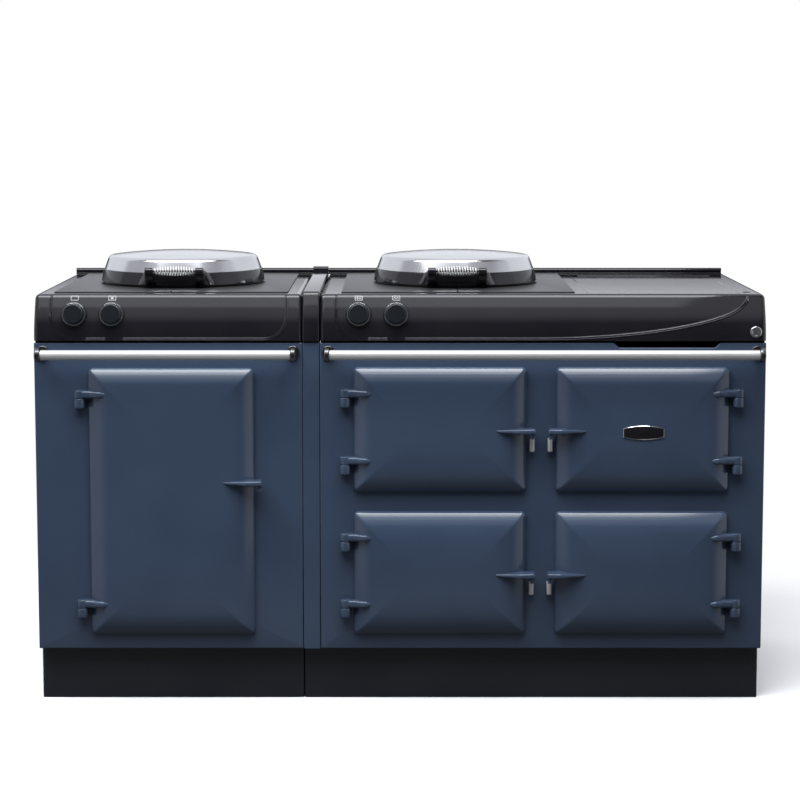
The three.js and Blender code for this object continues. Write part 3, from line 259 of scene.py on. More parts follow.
blue_enamel = enamel("blue_enamel", (0.032, 0.049, 0.083, 1), (0.036, 0.054, 0.090, 1), 0.11, 0.008)
black_enamel = enamel("black_enamel", (0.0055, 0.005, 0.007, 1), (0.0075, 0.007, 0.009, 1), 0.06, 0.01)
oven_enamel = enamel("oven_enamel", (0.012, 0.012, 0.016, 1), (0.022, 0.022, 0.028, 1), 0.3, 0.06)
plinth_paint = enamel("plinth_paint", (0.011, 0.013, 0.018, 1), (0.014, 0.016, 0.021, 1), 0.42, 0.05)
cabinet_paint = enamel("cabinet_paint", (0.016, 0.018, 0.022, 1), (0.02, 0.022, 0.027, 1), 0.45, 0.05)


def metal(name, dark, light, roughness, streak=(1, 1, 1), scale=60, depth=0.02, metallic=1.0):
    """Bare metal whose fine streaks run along the axis with the smallest factor."""
    material, shader, place = new_material(name)
    streaks = noise(place, scale, 3, streak)
    feed(
        shader,
        Base_Color=streaks.ramp(0.25, 0.75).mix(dark, light),
        Metallic=metallic,
        Roughness=streaks * 0.06 + roughness,
        Normal=bump(streaks, depth, 0.0005),
    )
    return material


polished = (0.56, 0.56, 0.575, 1), (0.62, 0.62, 0.635, 1)
brushed = grey(0.52), (0.60, 0.60, 0.59, 1)
lengthways, upright = (0.02, 1, 1), (1, 1, 0.02)
chrome = metal("polished_chrome", *polished, 0.04, scale=9, depth=0.01)
rail_steel = metal("brushed_steel", *brushed, 0.3, lengthways, 900, metallic=0.55)
door_steel = metal("door_steel", (0.42, 0.42, 0.43, 1), grey(0.52), 0.3, upright, 500)
dark_metal = metal("dark_metal", grey(0.10), (0.16, 0.16, 0.155, 1), 0.22)


# Plinths, cabinets, oven liners, shelves and the steel backs of the doors: folded and pressed
# sheet and welded rods, screwed together behind the castings and kept as the frame has them.
carried = [
    ("plinth_", plinth_paint, "plinth_paint"),
    ("cabinet_", cabinet_paint, "cabinet_paint"),
    ("oven_liner_", oven_enamel, "oven_enamel"),
    ("oven_shelf_", chrome, "polished_chrome"),
    ("door_inner_panel_", door_steel, "door_steel"),
]
for start, material, slot in carried:
    for node_name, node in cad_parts.items():
        if node_name.startswith(start):
            node.data.materials.clear()
            node.data.materials.append(material)


# Front panels: flat enamelled castings with a small round along every outer edge, bolted to the
# cabinets, with the hinge knuckles and the ears of the catch rollers cast on.
panel_thickness = 12
panel_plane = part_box("cabinet_left")[0].y - panel_thickness / 1000
left_low, left_high = -805, -215
right_low, right_high = -177, 805
plinth_top, panel_top = 121, 807
panel_edge, panel_corner, side_middle = 2.5, 3, 400
mouth_inset, mouth_corner = 24, 14
vent_notch = (470, 704, 11)


def at(x, y, z):
    """A point in the row frame, from millimetres along, behind the front panels and up."""
    return Vector((x / 1000, y / 1000 + panel_plane, z / 1000))


def skin(bm, rows, wrap=False):
    """Faces between rows of points of equal count, for curved castings; wrap closes each row."""
    grid = [[bm.verts.new(point) for point in row] for row in rows]
    for near, far in zip(grid, grid[1:]):
        for i in range(len(near) - (0 if wrap else 1)):
            j = (i + 1) % len(near)
            bm.faces.new((near[i], near[j], far[j], far[i]))
    return grid


def capped_skin(bm, rows):
    """A closed body over rings of points, with a flat face at each end."""
    grid = skin(bm, rows, wrap=True)
    bm.faces.new(grid[0][::-1])
    bm.faces.new(grid[-1])


def extruded(bm, outline, push):
    """A closed body: a flat outline of points, pushed by that many millimetres along each axis."""
    face = bm.faces.new([bm.verts.new(point) for point in outline])
    grown = bmesh.ops.extrude_face_region(bm, geom=[face])["geom"]
    verts = [v for v in grown if isinstance(v, bmesh.types.BMVert)]
    bmesh.ops.translate(bm, verts=verts, vec=Vector(push) / 1000)


def soften(points, radius, steps=3):
    """A path in the plane whose inner corners are rounded."""
    path = [Vector(point) for point in points]
    made = [path[0]]
    for before, corner, after in zip(path, path[1:], path[2:]):
        reach = min(radius, (corner - before).length / 2, (after - corner).length / 2)
        start = corner + (before - corner).normalized() * reach
        end = corner + (after - corner).normalized() * reach
        for i in range(steps + 1):
            t = i / steps
            made.append(start * (1 - t) ** 2 + corner * (2 * t * (1 - t)) + end * t ** 2)
    return made + [path[-1]]


def turned(bm, profile, origin, along=(0, 0, 1), sides=72):
    """A profile of (radius, height) in millimetres turned round an axis."""
    along = Vector(along).normalized()
    across = along.orthogonal().normalized()
    part = bmesh.new()
    line = [part.verts.new((across * radius + along * height) / 1000) for radius, height in profile]
    edges = [part.edges.new(pair) for pair in zip(line, line[1:])]
    bmesh.ops.spin(
        part,
        geom=line + edges,
        cent=(0, 0, 0),
        axis=along,
        angle=2 * math.pi,
        steps=sides,
        use_merge=True,
    )
    bmesh.ops.translate(part, verts=part.verts, vec=origin)
    mesh = bpy.data.meshes.new("turned")
    part.to_mesh(mesh)
    part.free()
    bm.from_mesh(mesh)
    bpy.data.meshes.remove(mesh)


def post(bm, origin, along, radius, length, edge=1.0, sides=40):
    """A round post with softened rims."""
    corners = [(0, 0), (radius, 0), (radius, length), (0, length)]
    turned(bm, soften(corners, edge), origin, along, sides)


def round_rect(low, high, radius, steps=5, cuts=()):
    """Pairs round a rectangle with round corners, with extra points along each side."""
    corners = [
        (high[0] - radius, low[1] + radius, -90),
        (high[0] - radius, high[1] - radius, 0),
        (low[0] + radius, high[1] - radius, 90),
        (low[0] + radius, low[1] + radius, 180),
    ]
    arcs = []
    for x, y, start in corners:
        angles = [math.radians(start + 90 * i / steps) for i in range(steps + 1)]
        arcs.append([Vector((x + radius * math.cos(a), y + radius * math.sin(a))) for a in angles])
    made = []
    for arc, following in zip(arcs, arcs[1:] + arcs[:1]):
        made += arc + [arc[-1].lerp(following[0], cut) for cut in cuts]
    return made


def finish_piece(name, bm, material, body, nodes=(), crease=38):
    """Merges, smooths and links a mesh, and ties it to its CAD body and nodes."""
    bmesh.ops.remove_doubles(bm, verts=bm.verts, dist=2e-6)
    bmesh.ops.recalc_face_normals(bm, faces=bm.faces)
    for face in bm.faces:
        face.smooth = True
    for edge in bm.edges:
        edge.smooth = edge.is_manifold and edge.calc_face_angle() < math.radians(crease)
    mesh = bpy.data.meshes.new(name)
    bm.to_mesh(mesh)
    bm.free()
    mesh.materials.append(material)
    made = bpy.data.objects.new(name, mesh)
    bpy.context.scene.collection.objects.link(made)
    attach(made, body)
    if nodes:
        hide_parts(*nodes)
    return made


# Each door: its reach along x, its reach along z, and the side that it hangs on.
small_doors = {
    "top_left": ((-103, 279), (476, 754), -1),
    "top_right": ((343, 725), (476, 754), 1),
    "bottom_left": ((-103, 279), (155, 433), -1),
    "bottom_right": ((343, 725), (155, 433), 1),
}
doors = {"tall": ((-686, -321), (155, 752), -1), **small_doors}
handle_rise = {"tall": 346}
usual_handle_rise = 140
hinge_outset, hinge_reach, arm_height = 18, 16, 18
arm_from_bottom, arm_from_top = 72, 57
knuckle_radius, knuckle_height, knuckle_gap = 12, 21, 0.3
pin_radius, pin_length = 4, 14
handle_overhang = 18
roller_radius, roller_height, roller_drop, roller_reach = 6, 30, 19, 9
ear_half, ear_thickness, ear_gap = 5, 3, 0.3
web_side, web_inset = 1, 0.8


def hinge_x(x, hangs):
    return x[0] - hinge_outset if hangs < 0 else x[1] + hinge_outset


def arm_levels(z):
    return z[0] + arm_from_bottom, z[1] - arm_from_top


def handle_z(name, z):
    return z[0] + handle_rise.get(name, usual_handle_rise)


def roller_x(x, hangs):
    return (x[1] if hangs < 0 else x[0]) - hangs * (handle_overhang - roller_radius)


def front_panel(name, low, high, names, notch=()):
    """One casting round the mouths of its doors, with a notch in its top where it is given."""
    bm = bmesh.new()
    notched = []
    if notch:
        start, end, depth = notch
        foot = panel_top - depth
        notched = [(end, panel_top), (end - depth, foot), (start + depth, foot), (start, panel_top)]
    outline = soften([
        (low, side_middle),
        (low, plinth_top),
        (high, plinth_top),
        (high, panel_top),
        *notched,
        (low, panel_top),
        (low, side_middle + 1),
    ], panel_corner, 4)

    def loop(shrink, y):
        points = []
        count = len(outline)
        for i, point in enumerate(outline):
            step = (outline[(i + 1) % count] - outline[i - 1]).normalized()
            points.append(point + Vector((-step.y, step.x)) * shrink)
        return [at(p.x, y, p.y) for p in points]

    turn = [math.pi / 2 * i / 4 for i in range(5)]
    rows = [loop(0, panel_thickness)]
    rows += [loop(panel_edge * (1 - math.cos(a)), panel_edge * (1 - math.sin(a))) for a in turn]
    grid = skin(bm, rows, wrap=True)
    rims = [bm.edges.get((a, b)) for a, b in zip(grid[-1], grid[-1][1:] + grid[-1][:1])]
    for door in names:
        x, z, hangs = doors[door]
        mouth_low = (x[0] + mouth_inset, z[0] + mouth_inset)
        mouth_high = (x[1] - mouth_inset, z[1] - mouth_inset)
        ring = round_rect(mouth_low, mouth_high, mouth_corner)
        mouth = skin(bm, [[at(p.x, y, p.y) for p in ring] for y in (0, panel_thickness)], wrap=True)
        rims += [bm.edges.get((a, b)) for a, b in zip(mouth[0], mouth[0][1:] + mouth[0][:1])]
    bmesh.ops.triangle_fill(bm, use_beauty=True, edges=rims)
    for door in names:
        x, z, hangs = doors[door]
        axis = hinge_x(x, hangs)
        web_half = knuckle_radius - web_side
        web = round_rect((axis - web_half, -hinge_reach), (axis + web_half, 1), 0.5, 1)
        for level in arm_levels(z):
            top_z = level - arm_height / 2 - knuckle_gap
            bottom_z = top_z - knuckle_height
            post(bm, at(axis, -hinge_reach, bottom_z), (0, 0, 1), knuckle_radius, knuckle_height, 2)
            web_bottom = [at(p.x, p.y, bottom_z + web_inset) for p in web]
            extruded(bm, web_bottom, (0, 0, knuckle_height - 2 * web_inset))
            post(bm, at(axis, -hinge_reach, top_z - 1), (0, 0, 1), pin_radius, pin_length, 1, 24)
        if door in small_doors:
            centre, level = roller_x(x, hangs), handle_z(door, z) - roller_drop
            ear = round_rect((centre - ear_half, -roller_reach - 3), (centre + ear_half, 1), 2)
            for low_z in (level + ear_gap, level - roller_height - ear_gap - ear_thickness):
                extruded(bm, [at(p.x, p.y, low_z) for p in ear], (0, 0, ear_thickness))
    finish_piece("fine_" + name, bm, blue_enamel, "cooker", [name])


joint_gap = 0.5
front_panel("front_panel_left", left_low, left_high - joint_gap, ["tall"])
front_panel("front_panel_right", right_low + joint_gap, right_high, list(small_doors), vent_notch)


# Joint strip: a blue enamelled steel cover, folded into a deep channel and pushed into the joint
# between the two front panels.
strip = (left_high + joint_gap, right_low - joint_gap)
strip_edge, strip_wall, strip_depth = 2.5, 3, 60
turn = [math.pi / 2 * i / 5 for i in range(6)]
across = [(strip[0] + strip_edge * (1 - math.sin(a)), strip_edge * (1 - math.cos(a))) for a in turn[::-1]]
across += [(strip[1] - strip_edge * (1 - math.sin(a)), strip_edge * (1 - math.cos(a))) for a in turn]
inner_left, inner_right = strip[0] + strip_wall, strip[1] - strip_wall
profile = [
    (strip[0], strip_depth),
    *across,
    (strip[1], strip_depth),
    (inner_right, strip_depth),
    (inner_right, strip_wall),
    (inner_left, strip_wall),
    (inner_left, strip_depth),
]
bm = bmesh.new()
extruded(bm, [at(x, y, plinth_top) for x, y in profile], (0, 0, panel_top - plinth_top))
finish_piece("fine_joint_strip_front", bm, blue_enamel, "cooker", ["joint_strip_front"])


# Door castings: enamelled iron pillows that rise from the rim in four mitred slopes, with the
# hinge arms and the pointed handle cast on. They hang on the pins of the front panels.
door_gap, door_rim, door_corner, door_edge, hip_round = 1, 10, 11, 10, 4
edge_rise, edge_reach, crown_rise, crown_reach = 16, 75, 9, 122
rim_turn, rim_steps, slope_steps = math.radians(40), 6, 20
side_cuts = (0.012, 0.1, 0.3, 0.5, 0.7, 0.9, 0.988)
arm_edge, arm_back = 0.5, -2
handle_back, lug_length, lug_drop = -14, 9, 17


def pillow_front(distance):
    """The door's front at a distance in from its edge."""
    edge = 1 - (1 - min(max(distance / edge_reach, 0), 1)) ** 4
    crown = 1 - (1 - min(max(distance / crown_reach, 0), 1)) ** 2
    return -(door_gap + door_rim + edge_rise * edge + crown_rise * crown)


def fin(bm, stations, back, steps=6):
    """A cast fin through stations of (x, middle z, half height, front y)."""
    rows = []
    spans = list(zip(stations, stations[1:]))
    for i, (start, end) in enumerate(spans):
        last = i == len(spans) - 1
        for step in range(steps + (1 if last else 0)):
            t = step / steps
            eased = t * t * (3 - 2 * t)
            x = start[0] + (end[0] - start[0]) * t
            z, half, front = (a + (b - a) * eased for a, b in zip(start[1:], end[1:]))
            ring = round_rect((front, z - half), (back, z + half), min(half, (back - front) / 2) * 0.7, 5)
            rows.append([at(x, p.x, p.y) for p in ring])
    capped_skin(bm, rows)


def door_ring(x, z, shrink, y):
    """The door's outline, drawn in by a distance, at a depth."""
    corner = max(door_corner - shrink, hip_round)
    low, high = (x[0] + shrink, z[0] + shrink), (x[1] - shrink, z[1] - shrink)
    return [at(p.x, y, p.y) for p in round_rect(low, high, corner, 5, side_cuts)]


for door, (x, z, hangs) in doors.items():
    bm = bmesh.new()
    face = -(door_gap + door_rim)
    rows = [door_ring(x, z, 0, -door_gap)]
    for i in range(rim_steps + 1):
        a = rim_turn * i / rim_steps
        rim_y = face + door_edge * (math.sin(rim_turn) - math.sin(a))
        rows.append(door_ring(x, z, door_edge * (1 - math.cos(a)), rim_y))
    for i in range(1, slope_steps + 1):
        distance = crown_reach * (i / slope_steps) ** 1.5
        shrink = door_edge * (1 - math.cos(rim_turn)) + distance
        rows.append(door_ring(x, z, shrink, pillow_front(distance)))
    capped_skin(bm, rows)

    axis = hinge_x(x, hangs)
    inward = -hangs
    arm_half, arm_front = arm_height / 2 - arm_edge, -hinge_reach - knuckle_radius
    for level in arm_levels(z):
        foot = at(axis, -hinge_reach, level - arm_height / 2)
        post(bm, foot, (0, 0, 1), knuckle_radius, arm_height, 2)
        fin(bm, [
            (axis, level, arm_half, arm_front + 1.5),
            (axis + inward * hinge_outset, level, arm_half, arm_front),
            (axis + inward * 45, level, 7, pillow_front(45 - hinge_outset) - 7),
            (axis + inward * 59, level, 3, pillow_front(59 - hinge_outset) + 1),
        ], arm_back)
    free = x[1] if hangs < 0 else x[0]
    grip = handle_z(door, z)
    front = pillow_front(36) - 24
    tip = free + inward * handle_overhang
    fin(bm, [
        (free - inward * 72, grip - 1, 2, pillow_front(72) + 1),
        (free - inward * 43, grip - 0.5, 3.5, front + 10),
        (free - inward * 8, grip, 5.5, front),
        (tip - inward * 3, grip, 6, front + 2),
        (tip, grip, 4.5, front + 4),
    ], handle_back)
    lug_low, lug_high = sorted((tip - inward, tip - inward * (1 + lug_length)))
    lug = round_rect((lug_low, front + 8), (lug_high, front + 18), 2)
    extruded(bm, [at(p.x, p.y, grip - lug_drop) for p in lug], (0, 0, lug_drop))
    body = f"door_{door}"
    finish_piece(f"fine_{body}", bm, blue_enamel, body, [f"door_casting_{door}"])


# Badge: an oval plate of black enamel in a thin bright rim, left bare, pinned to the middle of
# one door.
badge_half, badge_high, badge_bulge = 45, 10, 6
badge_centre = Vector((534, 612))
badge_seat = pillow_front(crown_reach)
badge_rim_steps = ((0, -1), (0, 1.6), (0.6, 2.2), (1.8, 2.2), (2.3, 1.6))
badge_plate_steps = ((2.4, 1.2), (2.4, 1.8), (2.9, 2.0))


def badge_ring(shrink, out):
    """The badge's outline, drawn in by a distance, at a height off the door."""
    sweep = [badge_half * (i / 12 - 1) for i in range(25)]
    edge = [Vector((x, badge_high + badge_bulge * (1 - (x / badge_half) ** 2))) for x in sweep]
    edge += [Vector((-p.x, -p.y)) for p in edge]
    narrow, low = 1 - shrink / badge_half, 1 - shrink / (badge_high + badge_bulge)
    return [at(badge_centre.x + p.x * narrow, badge_seat - out, badge_centre.y + p.y * low) for p in edge]


bm = bmesh.new()
capped_skin(bm, [badge_ring(*step) for step in badge_rim_steps])
finish_piece("badge_rim", bm, chrome, "door_top_right")
bm = bmesh.new()
capped_skin(bm, [badge_ring(*step) for step in badge_plate_steps])
finish_piece("badge_plate", bm, black_enamel, "door_top_right")


# Catch rollers: plain steel, turning between two ears of the front panel, where the handles of
# the small doors press past them.
for door, (x, z, hangs) in small_doors.items():
    bm = bmesh.new()
    bottom = handle_z(door, z) - roller_drop - roller_height
    post(bm, at(roller_x(x, hangs), -roller_reach, bottom), (0, 0, 1), roller_radius, roller_height, 1.4)
    roller = f"catch_roller_{door}"
    finish_piece(f"fine_{roller}", bm, rail_steel, roller, [roller])


# Top plates: heavy black enamelled castings. Each front edge rolls over into the apron, and the
# control fascia is sunk into the roll behind a sloping, twice ridged lip.
hob, apron_bottom, apron_face, apron_return = 912, 811, -3, 10
side_roll, deck_back = 11, 648
lip, lip_depth, lip_fade = 8, 5, 10
lip_ridges = (0, 0), (0.12, -0.9), (0.28, -0.9), (0.50, 0.9), (0.62, 0.2), (0.74, 0.2), (0.95, 1.9)
fascia_bottom, fascia_margin, fascia_corner = 819, 39, 46
levels_up, margin_cells, fascia_cells, sweep_cells = 30, 10, 60, 50
upstand_left_gap, upstand_right_gap = 3, 9
upstand = (
    (632, 911), (632, 914.5), (637, 915.5), (637, 917.5), (634, 918.5),
    (634, 922), (637, 926), (648, 926), (648, 911),
)
# Heights up the front, and how far in degrees it leans back there.
tilts = (
    (811, 0), (819, 4), (830, 8), (846, 14), (862, 20), (873, 23), (890, 25),
    (902, 27), (906, 33), (908.5, 45), (910.5, 65), (912, 84),
)
warm_x, warm_y, warm_bead = (416, 753), (64, 596), 1.1
vent_x, vent_y, vent_bead = (434, 757), 560, 1.6
bead_rise, bead_edge, bead_sides = -0.4, 0.3, 16
dimple_place = (771, 78)
dimple = ((0, -1), (8, -1), (8, 0.5), (10, 0.8), (12, -0.5), (0, -0.6))
knob_y, knob_z, knob_tilt = 11.05, 868.1, math.radians(10.64)
knob_axis = Vector((0, -math.cos(knob_tilt), math.sin(knob_tilt)))
knobs = {
    "knob_left_upper_oven": -717,
    "knob_left_lower_oven": -634.5,
    "knob_right_hob": -91,
    "knob_right_ovens": -8.5,
}
knob_boss = ((0, -8), (29, -8), (29, 1.5), (0, 1.5))


def bezier(points, t):
    """The point at a share of the way along a cubic curve."""
    a, b, c, d = points
    s = 1 - t
    return a * s ** 3 + b * (3 * s * s * t) + c * (3 * s * t * t) + d * t ** 3


def on_curve(curve, level):
    """The other coordinate of a falling or rising curve at a height."""
    for near, far in zip(curve, curve[1:]):
        low, high = sorted((near.y, far.y))
        if low <= level <= high and high > low:
            return near.x + (far.x - near.x) * (level - near.y) / (far.y - near.y)
    return curve[-1].x if abs(curve[-1].y - level) < abs(curve[0].y - level) else curve[0].x


def rolled(start, steps=6):
    """The rolled front, from the bottom up, through heights where it leans back by an angle."""
    curve = [Vector((start, tilts[0][0]))]
    for (low, near), (high, far) in zip(tilts, tilts[1:]):
        rise = (high - low) / steps
        for i in range(steps):
            lean = math.radians(near + (far - near) * (i + 0.5) / steps)
            curve.append(curve[-1] + Vector((math.tan(lean) * rise, rise)))
    return curve


roll_curve = rolled(apron_face)
fascia_curve = rolled(apron_face + lip_depth)
roll_end, fascia_end = roll_curve[-1].x, fascia_curve[-1].x


def roll_y(z):
    """The front of the rolled edge at a height."""
    return on_curve(roll_curve, min(max(z, apron_bottom), hob))


def roll_normal(z):
    """The normal of the rolled edge at a height, pointing out of the plate."""
    step = 0.3
    high, low = min(z + step, hob), min(z + step, hob) - 2 * step
    along = Vector((roll_y(high) - roll_y(low), high - low)).normalized()
    return Vector((-along.y, along.x))


def fascia_sides(low, high, sweeps):
    """The fascia's two side outlines, each from the bottom up; the right one may sweep up early."""
    x0, x1 = low + fascia_margin, high - fascia_margin
    turn = [math.pi / 2 * i / 14 for i in range(15)]
    centre = fascia_bottom + fascia_corner
    corner = [(fascia_corner * (1 - math.sin(a)), centre - fascia_corner * math.cos(a)) for a in turn]
    left = [Vector((x0 + x, z)) for x, z in corner]
    right = [Vector((x1 - x, z)) for x, z in corner]
    if sweeps:
        sweep = (low + 500, fascia_bottom), (low + 760, 823), (x1 - 40, 864), (x1 - 18, 886)
        path = [Vector(point) for point in sweep]
        right = [bezier(path, i / sweep_cells) for i in range(sweep_cells + 1)]
        right.append(Vector((x1 - 5, 899)))
    return left + [Vector((x0, hob))], right + [Vector((x1, hob))]


def outward(curve, level, sense):
    """The outline's normal at a height, pointing out of the fascia to the left (-1) or right (1)."""
    step = 0.4
    low, high = max(level - step, curve[0].y), min(level + step, curve[-1].y)
    along = Vector((on_curve(curve, high) - on_curve(curve, low), high - low)).normalized()
    return Vector((along.y, -along.x)) * sense


def rounded_edge(module_edge, sense, z, y=None):
    """Points round a plate's side edge, from the side wall inwards, on its roll or on its deck at y."""
    normal = roll_normal(z) if y is None else Vector((0, 1))
    start = Vector((roll_y(z), z)) if y is None else Vector((y, hob))
    points = []
    for i in range(7):
        a = math.pi / 2 * i / 6
        place = start - normal * side_roll * (1 - math.sin(a))
        x = module_edge + sense * side_roll * (1 - math.cos(a))
        points.append((x, place.x, place.y))
    return points


def filled(edge, x, y, z):
    """A row of points from a rounded edge on to a point."""
    start = edge[-1][0]
    return edge[:-1] + [(start + (x - start) * i / margin_cells, y, z) for i in range(margin_cells + 1)]


def margin(module_edge, sense, boundary):
    """One row from the side edge to a boundary point (x, y, z) of the fascia."""
    x, y, z = boundary
    on_roll = y <= roll_end + 0.01 and z < hob
    return filled(rounded_edge(module_edge, sense, z, None if on_roll else y), x, y, z)


def fascia_levels(sides):
    """Heights of the fascia's rows, closer near the deck and at each point of its outlines."""
    least_step = 0.25
    levels = [hob - (i / levels_up) ** 2 * (hob - fascia_bottom) for i in range(levels_up + 1)]
    levels += [point.y for side in sides for point in side]
    kept = [fascia_bottom]
    for level in sorted(levels):
        if level - kept[-1] > least_step:
            kept.append(level)
    return kept[:-1] + [hob]


def put(rows):
    """Rows of (x, y, z) in millimetres as points of the row frame."""
    return [[at(*p) for p in row] for row in rows]


def top_plate(name, low, high, right_sized):
    """One plate; the right one has the sweep, the warming plate and the narrower upstand."""
    sides = fascia_sides(low, high, right_sized)
    levels = fascia_levels(sides)
    bm = bmesh.new()

    # The lips round the fascia, and the roll between each of them and the side edge.
    boundaries, lips = [], []
    for curve, edge_x, sense in zip(sides, (low, high), (-1, 1)):
        rows, band = [], []
        for i, level in enumerate(levels):
            x = on_curve(curve, level)
            normal = outward(curve, level, sense) if i else Vector((0, -1))
            grow = lip * min(1, (hob - level) / lip_fade)
            px, pz = x + normal.x * grow, max(level + normal.y * grow, apron_bottom)
            shell = roll_y(pz)
            rows.append((px, shell, pz))
            ridges = [
                (px + (x - px) * t, shell + out * grow / lip, pz + (level - pz) * t)
                for t, out in lip_ridges
            ]
            band.append([*ridges, (x, on_curve(fascia_curve, level), level)])
        skin(bm, put(margin(edge_x, -sense, row) for row in rows))
        skin(bm, put(band))
        boundaries.append(rows)
        lips.append(band)

    # The sunk face between the lips, and the lip below it.
    body = []
    for left_row, right_row in zip(*lips):
        x0, y, z = left_row[-1]
        x1 = right_row[-1][0]
        body.append([(x0 + (x1 - x0) * i / fascia_cells, y, z) for i in range(fascia_cells + 1)])
    skin(bm, put(body))
    bottom = body[0]
    low_lip = [bottom]
    for t, out in lip_ridges[::-1]:
        low_lip.append([(x, apron_face + out, z - lip * (1 - t)) for x, y, z in bottom])
    skin(bm, put(low_lip))

    def deck_row(y):
        left_part = filled(rounded_edge(low, 1, hob, y), body[-1][0][0], y, hob)
        right_part = filled(rounded_edge(high, -1, hob, y), body[-1][-1][0], y, hob)
        return left_part, [(p[0], y, hob) for p in body[-1]], right_part

    # The deck, the back wall, the side walls and the return under the apron.
    front_depths = (roll_end, (roll_end + fascia_end) / 2, fascia_end)
    front_deck = [deck_row(y) for y in front_depths]
    for part in (0, 2):
        skin(bm, put(row[part] for row in front_deck))
    depths = (fascia_end, fascia_end + 1, 300, 500, deck_back)
    full = []
    for y in depths:
        left_part, inner, right_part = deck_row(y)
        full.append(left_part + inner[1:-1] + right_part[::-1])
    skin(bm, put(full))
    skin(bm, put([full[-1], [(p[0], deck_back, apron_bottom) for p in full[-1]]]))
    for edge_x, rows, sense in zip((low, high), boundaries, (1, -1)):
        rim = [rounded_edge(edge_x, sense, row[2])[0] for row in rows if row[2] < hob]
        rim += [rounded_edge(edge_x, sense, hob, y)[0] for y in (*front_depths[:2], *depths)]
        rim.append((edge_x, deck_back, apron_bottom))
        bm.faces.new([bm.verts.new(at(*p)) for p in rim])
    left_base, right_base = margin(low, 1, boundaries[0][0]), margin(high, -1, boundaries[1][0])
    middle_base = [(x, apron_face, apron_bottom) for x, y, z in bottom]
    for row in (left_base, middle_base, right_base[::-1]):
        skin(bm, put([row, [(x, y + apron_return, z) for x, y, z in row]]))

    # What stands on the plate: the upstand, the bosses of the knobs, the beads and the dimple.
    start, end = (low, high - upstand_right_gap) if right_sized else (low + upstand_left_gap, high)
    extruded(bm, [at(start, p.x, p.y) for p in soften(upstand, 1.5)], (end - start, 0, 0))
    for x in knobs.values():
        if low < x < high:
            turned(bm, soften(knob_boss, 1), at(x, knob_y, knob_z), knob_axis)
    if right_sized:
        for x in warm_x:
            start = at(x, warm_y[0], hob + bead_rise)
            post(bm, start, (0, 1, 0), warm_bead, warm_y[1] - warm_y[0], bead_edge, bead_sides)
        start = at(vent_x[0], vent_y, hob + bead_rise)
        post(bm, start, (1, 0, 0), vent_bead, vent_x[1] - vent_x[0], bead_edge, bead_sides)
        turned(bm, soften(dimple, 0.4), at(*dimple_place, hob))
    finish_piece("fine_" + name, bm, black_enamel, "cooker", [name], 30)


top_plate("top_plate_left", left_low, left_high, False)
top_plate("top_plate_right", right_low, right_high, True)


# Joint cap: a narrow black enamelled casting over the joint of the top plates. It follows their
# roll and ends at the back in a step over the upstands.
bm = bmesh.new()
cap_rise, cap_edge, cap_return, cap_lap = 6, 4, 12, 6
step_front, step_rise, step_slope = 630, (2, 15, 18), 5
cap_front = [Vector((p.x, p.y + cap_rise)) for p in rolled(apron_face - 1)]
line = [(Vector((cap_front[0].x, apron_bottom)), Vector((-1, 0)))]
for before, point, after in zip(cap_front, cap_front[1:], cap_front[2:]):
    along = (after - before).normalized()
    line.append((point, Vector((-along.y, along.x))))
line.append((Vector((deck_back, hob + cap_rise)), Vector((0, 1))))
edge_turn = [math.pi / 2 * i / 5 for i in range(6)]
rows = []
for point, normal in line:
    edge = [
        (cap_edge * (1 - math.cos(a)), point - normal * cap_edge * (1 - math.sin(a)))
        for a in edge_turn
    ]
    row = [at(strip[0] + inset, p.x, p.y) for inset, p in edge]
    rows.append(row + [at(strip[1] - inset, p.x, p.y) for inset, p in edge[::-1]])
skin(bm, rows)
for end, x in ((0, strip[0]), (-1, strip[1])):
    side = [bm.verts.new(row[end]) for row in rows]
    bm.faces.new(side + [bm.verts.new(at(x, deck_back, apron_bottom))])
skin(bm, [rows[-1], [Vector((p.x, p.y, at(0, 0, apron_bottom).z)) for p in rows[-1]]])
back = Vector((0, cap_return, 0)) / 1000
down = Vector((0, 0, -cap_lap)) / 1000
skin(bm, [rows[0], [p + back for p in rows[0]], [p + back + down for p in rows[0]]])
foot, slope, crest = (hob + rise for rise in step_rise)
climb = soften([
    (step_front, foot),
    (step_front, slope),
    (step_front + step_slope, crest),
    (deck_back, crest),
    (deck_back, foot),
], 3)
extruded(bm, [at(strip[0], p.x, p.y) for p in climb], (strip[1] - strip[0], 0, 0))
finish_piece("fine_joint_strip_cap", bm, black_enamel, "cooker", ["joint_strip_cap"])


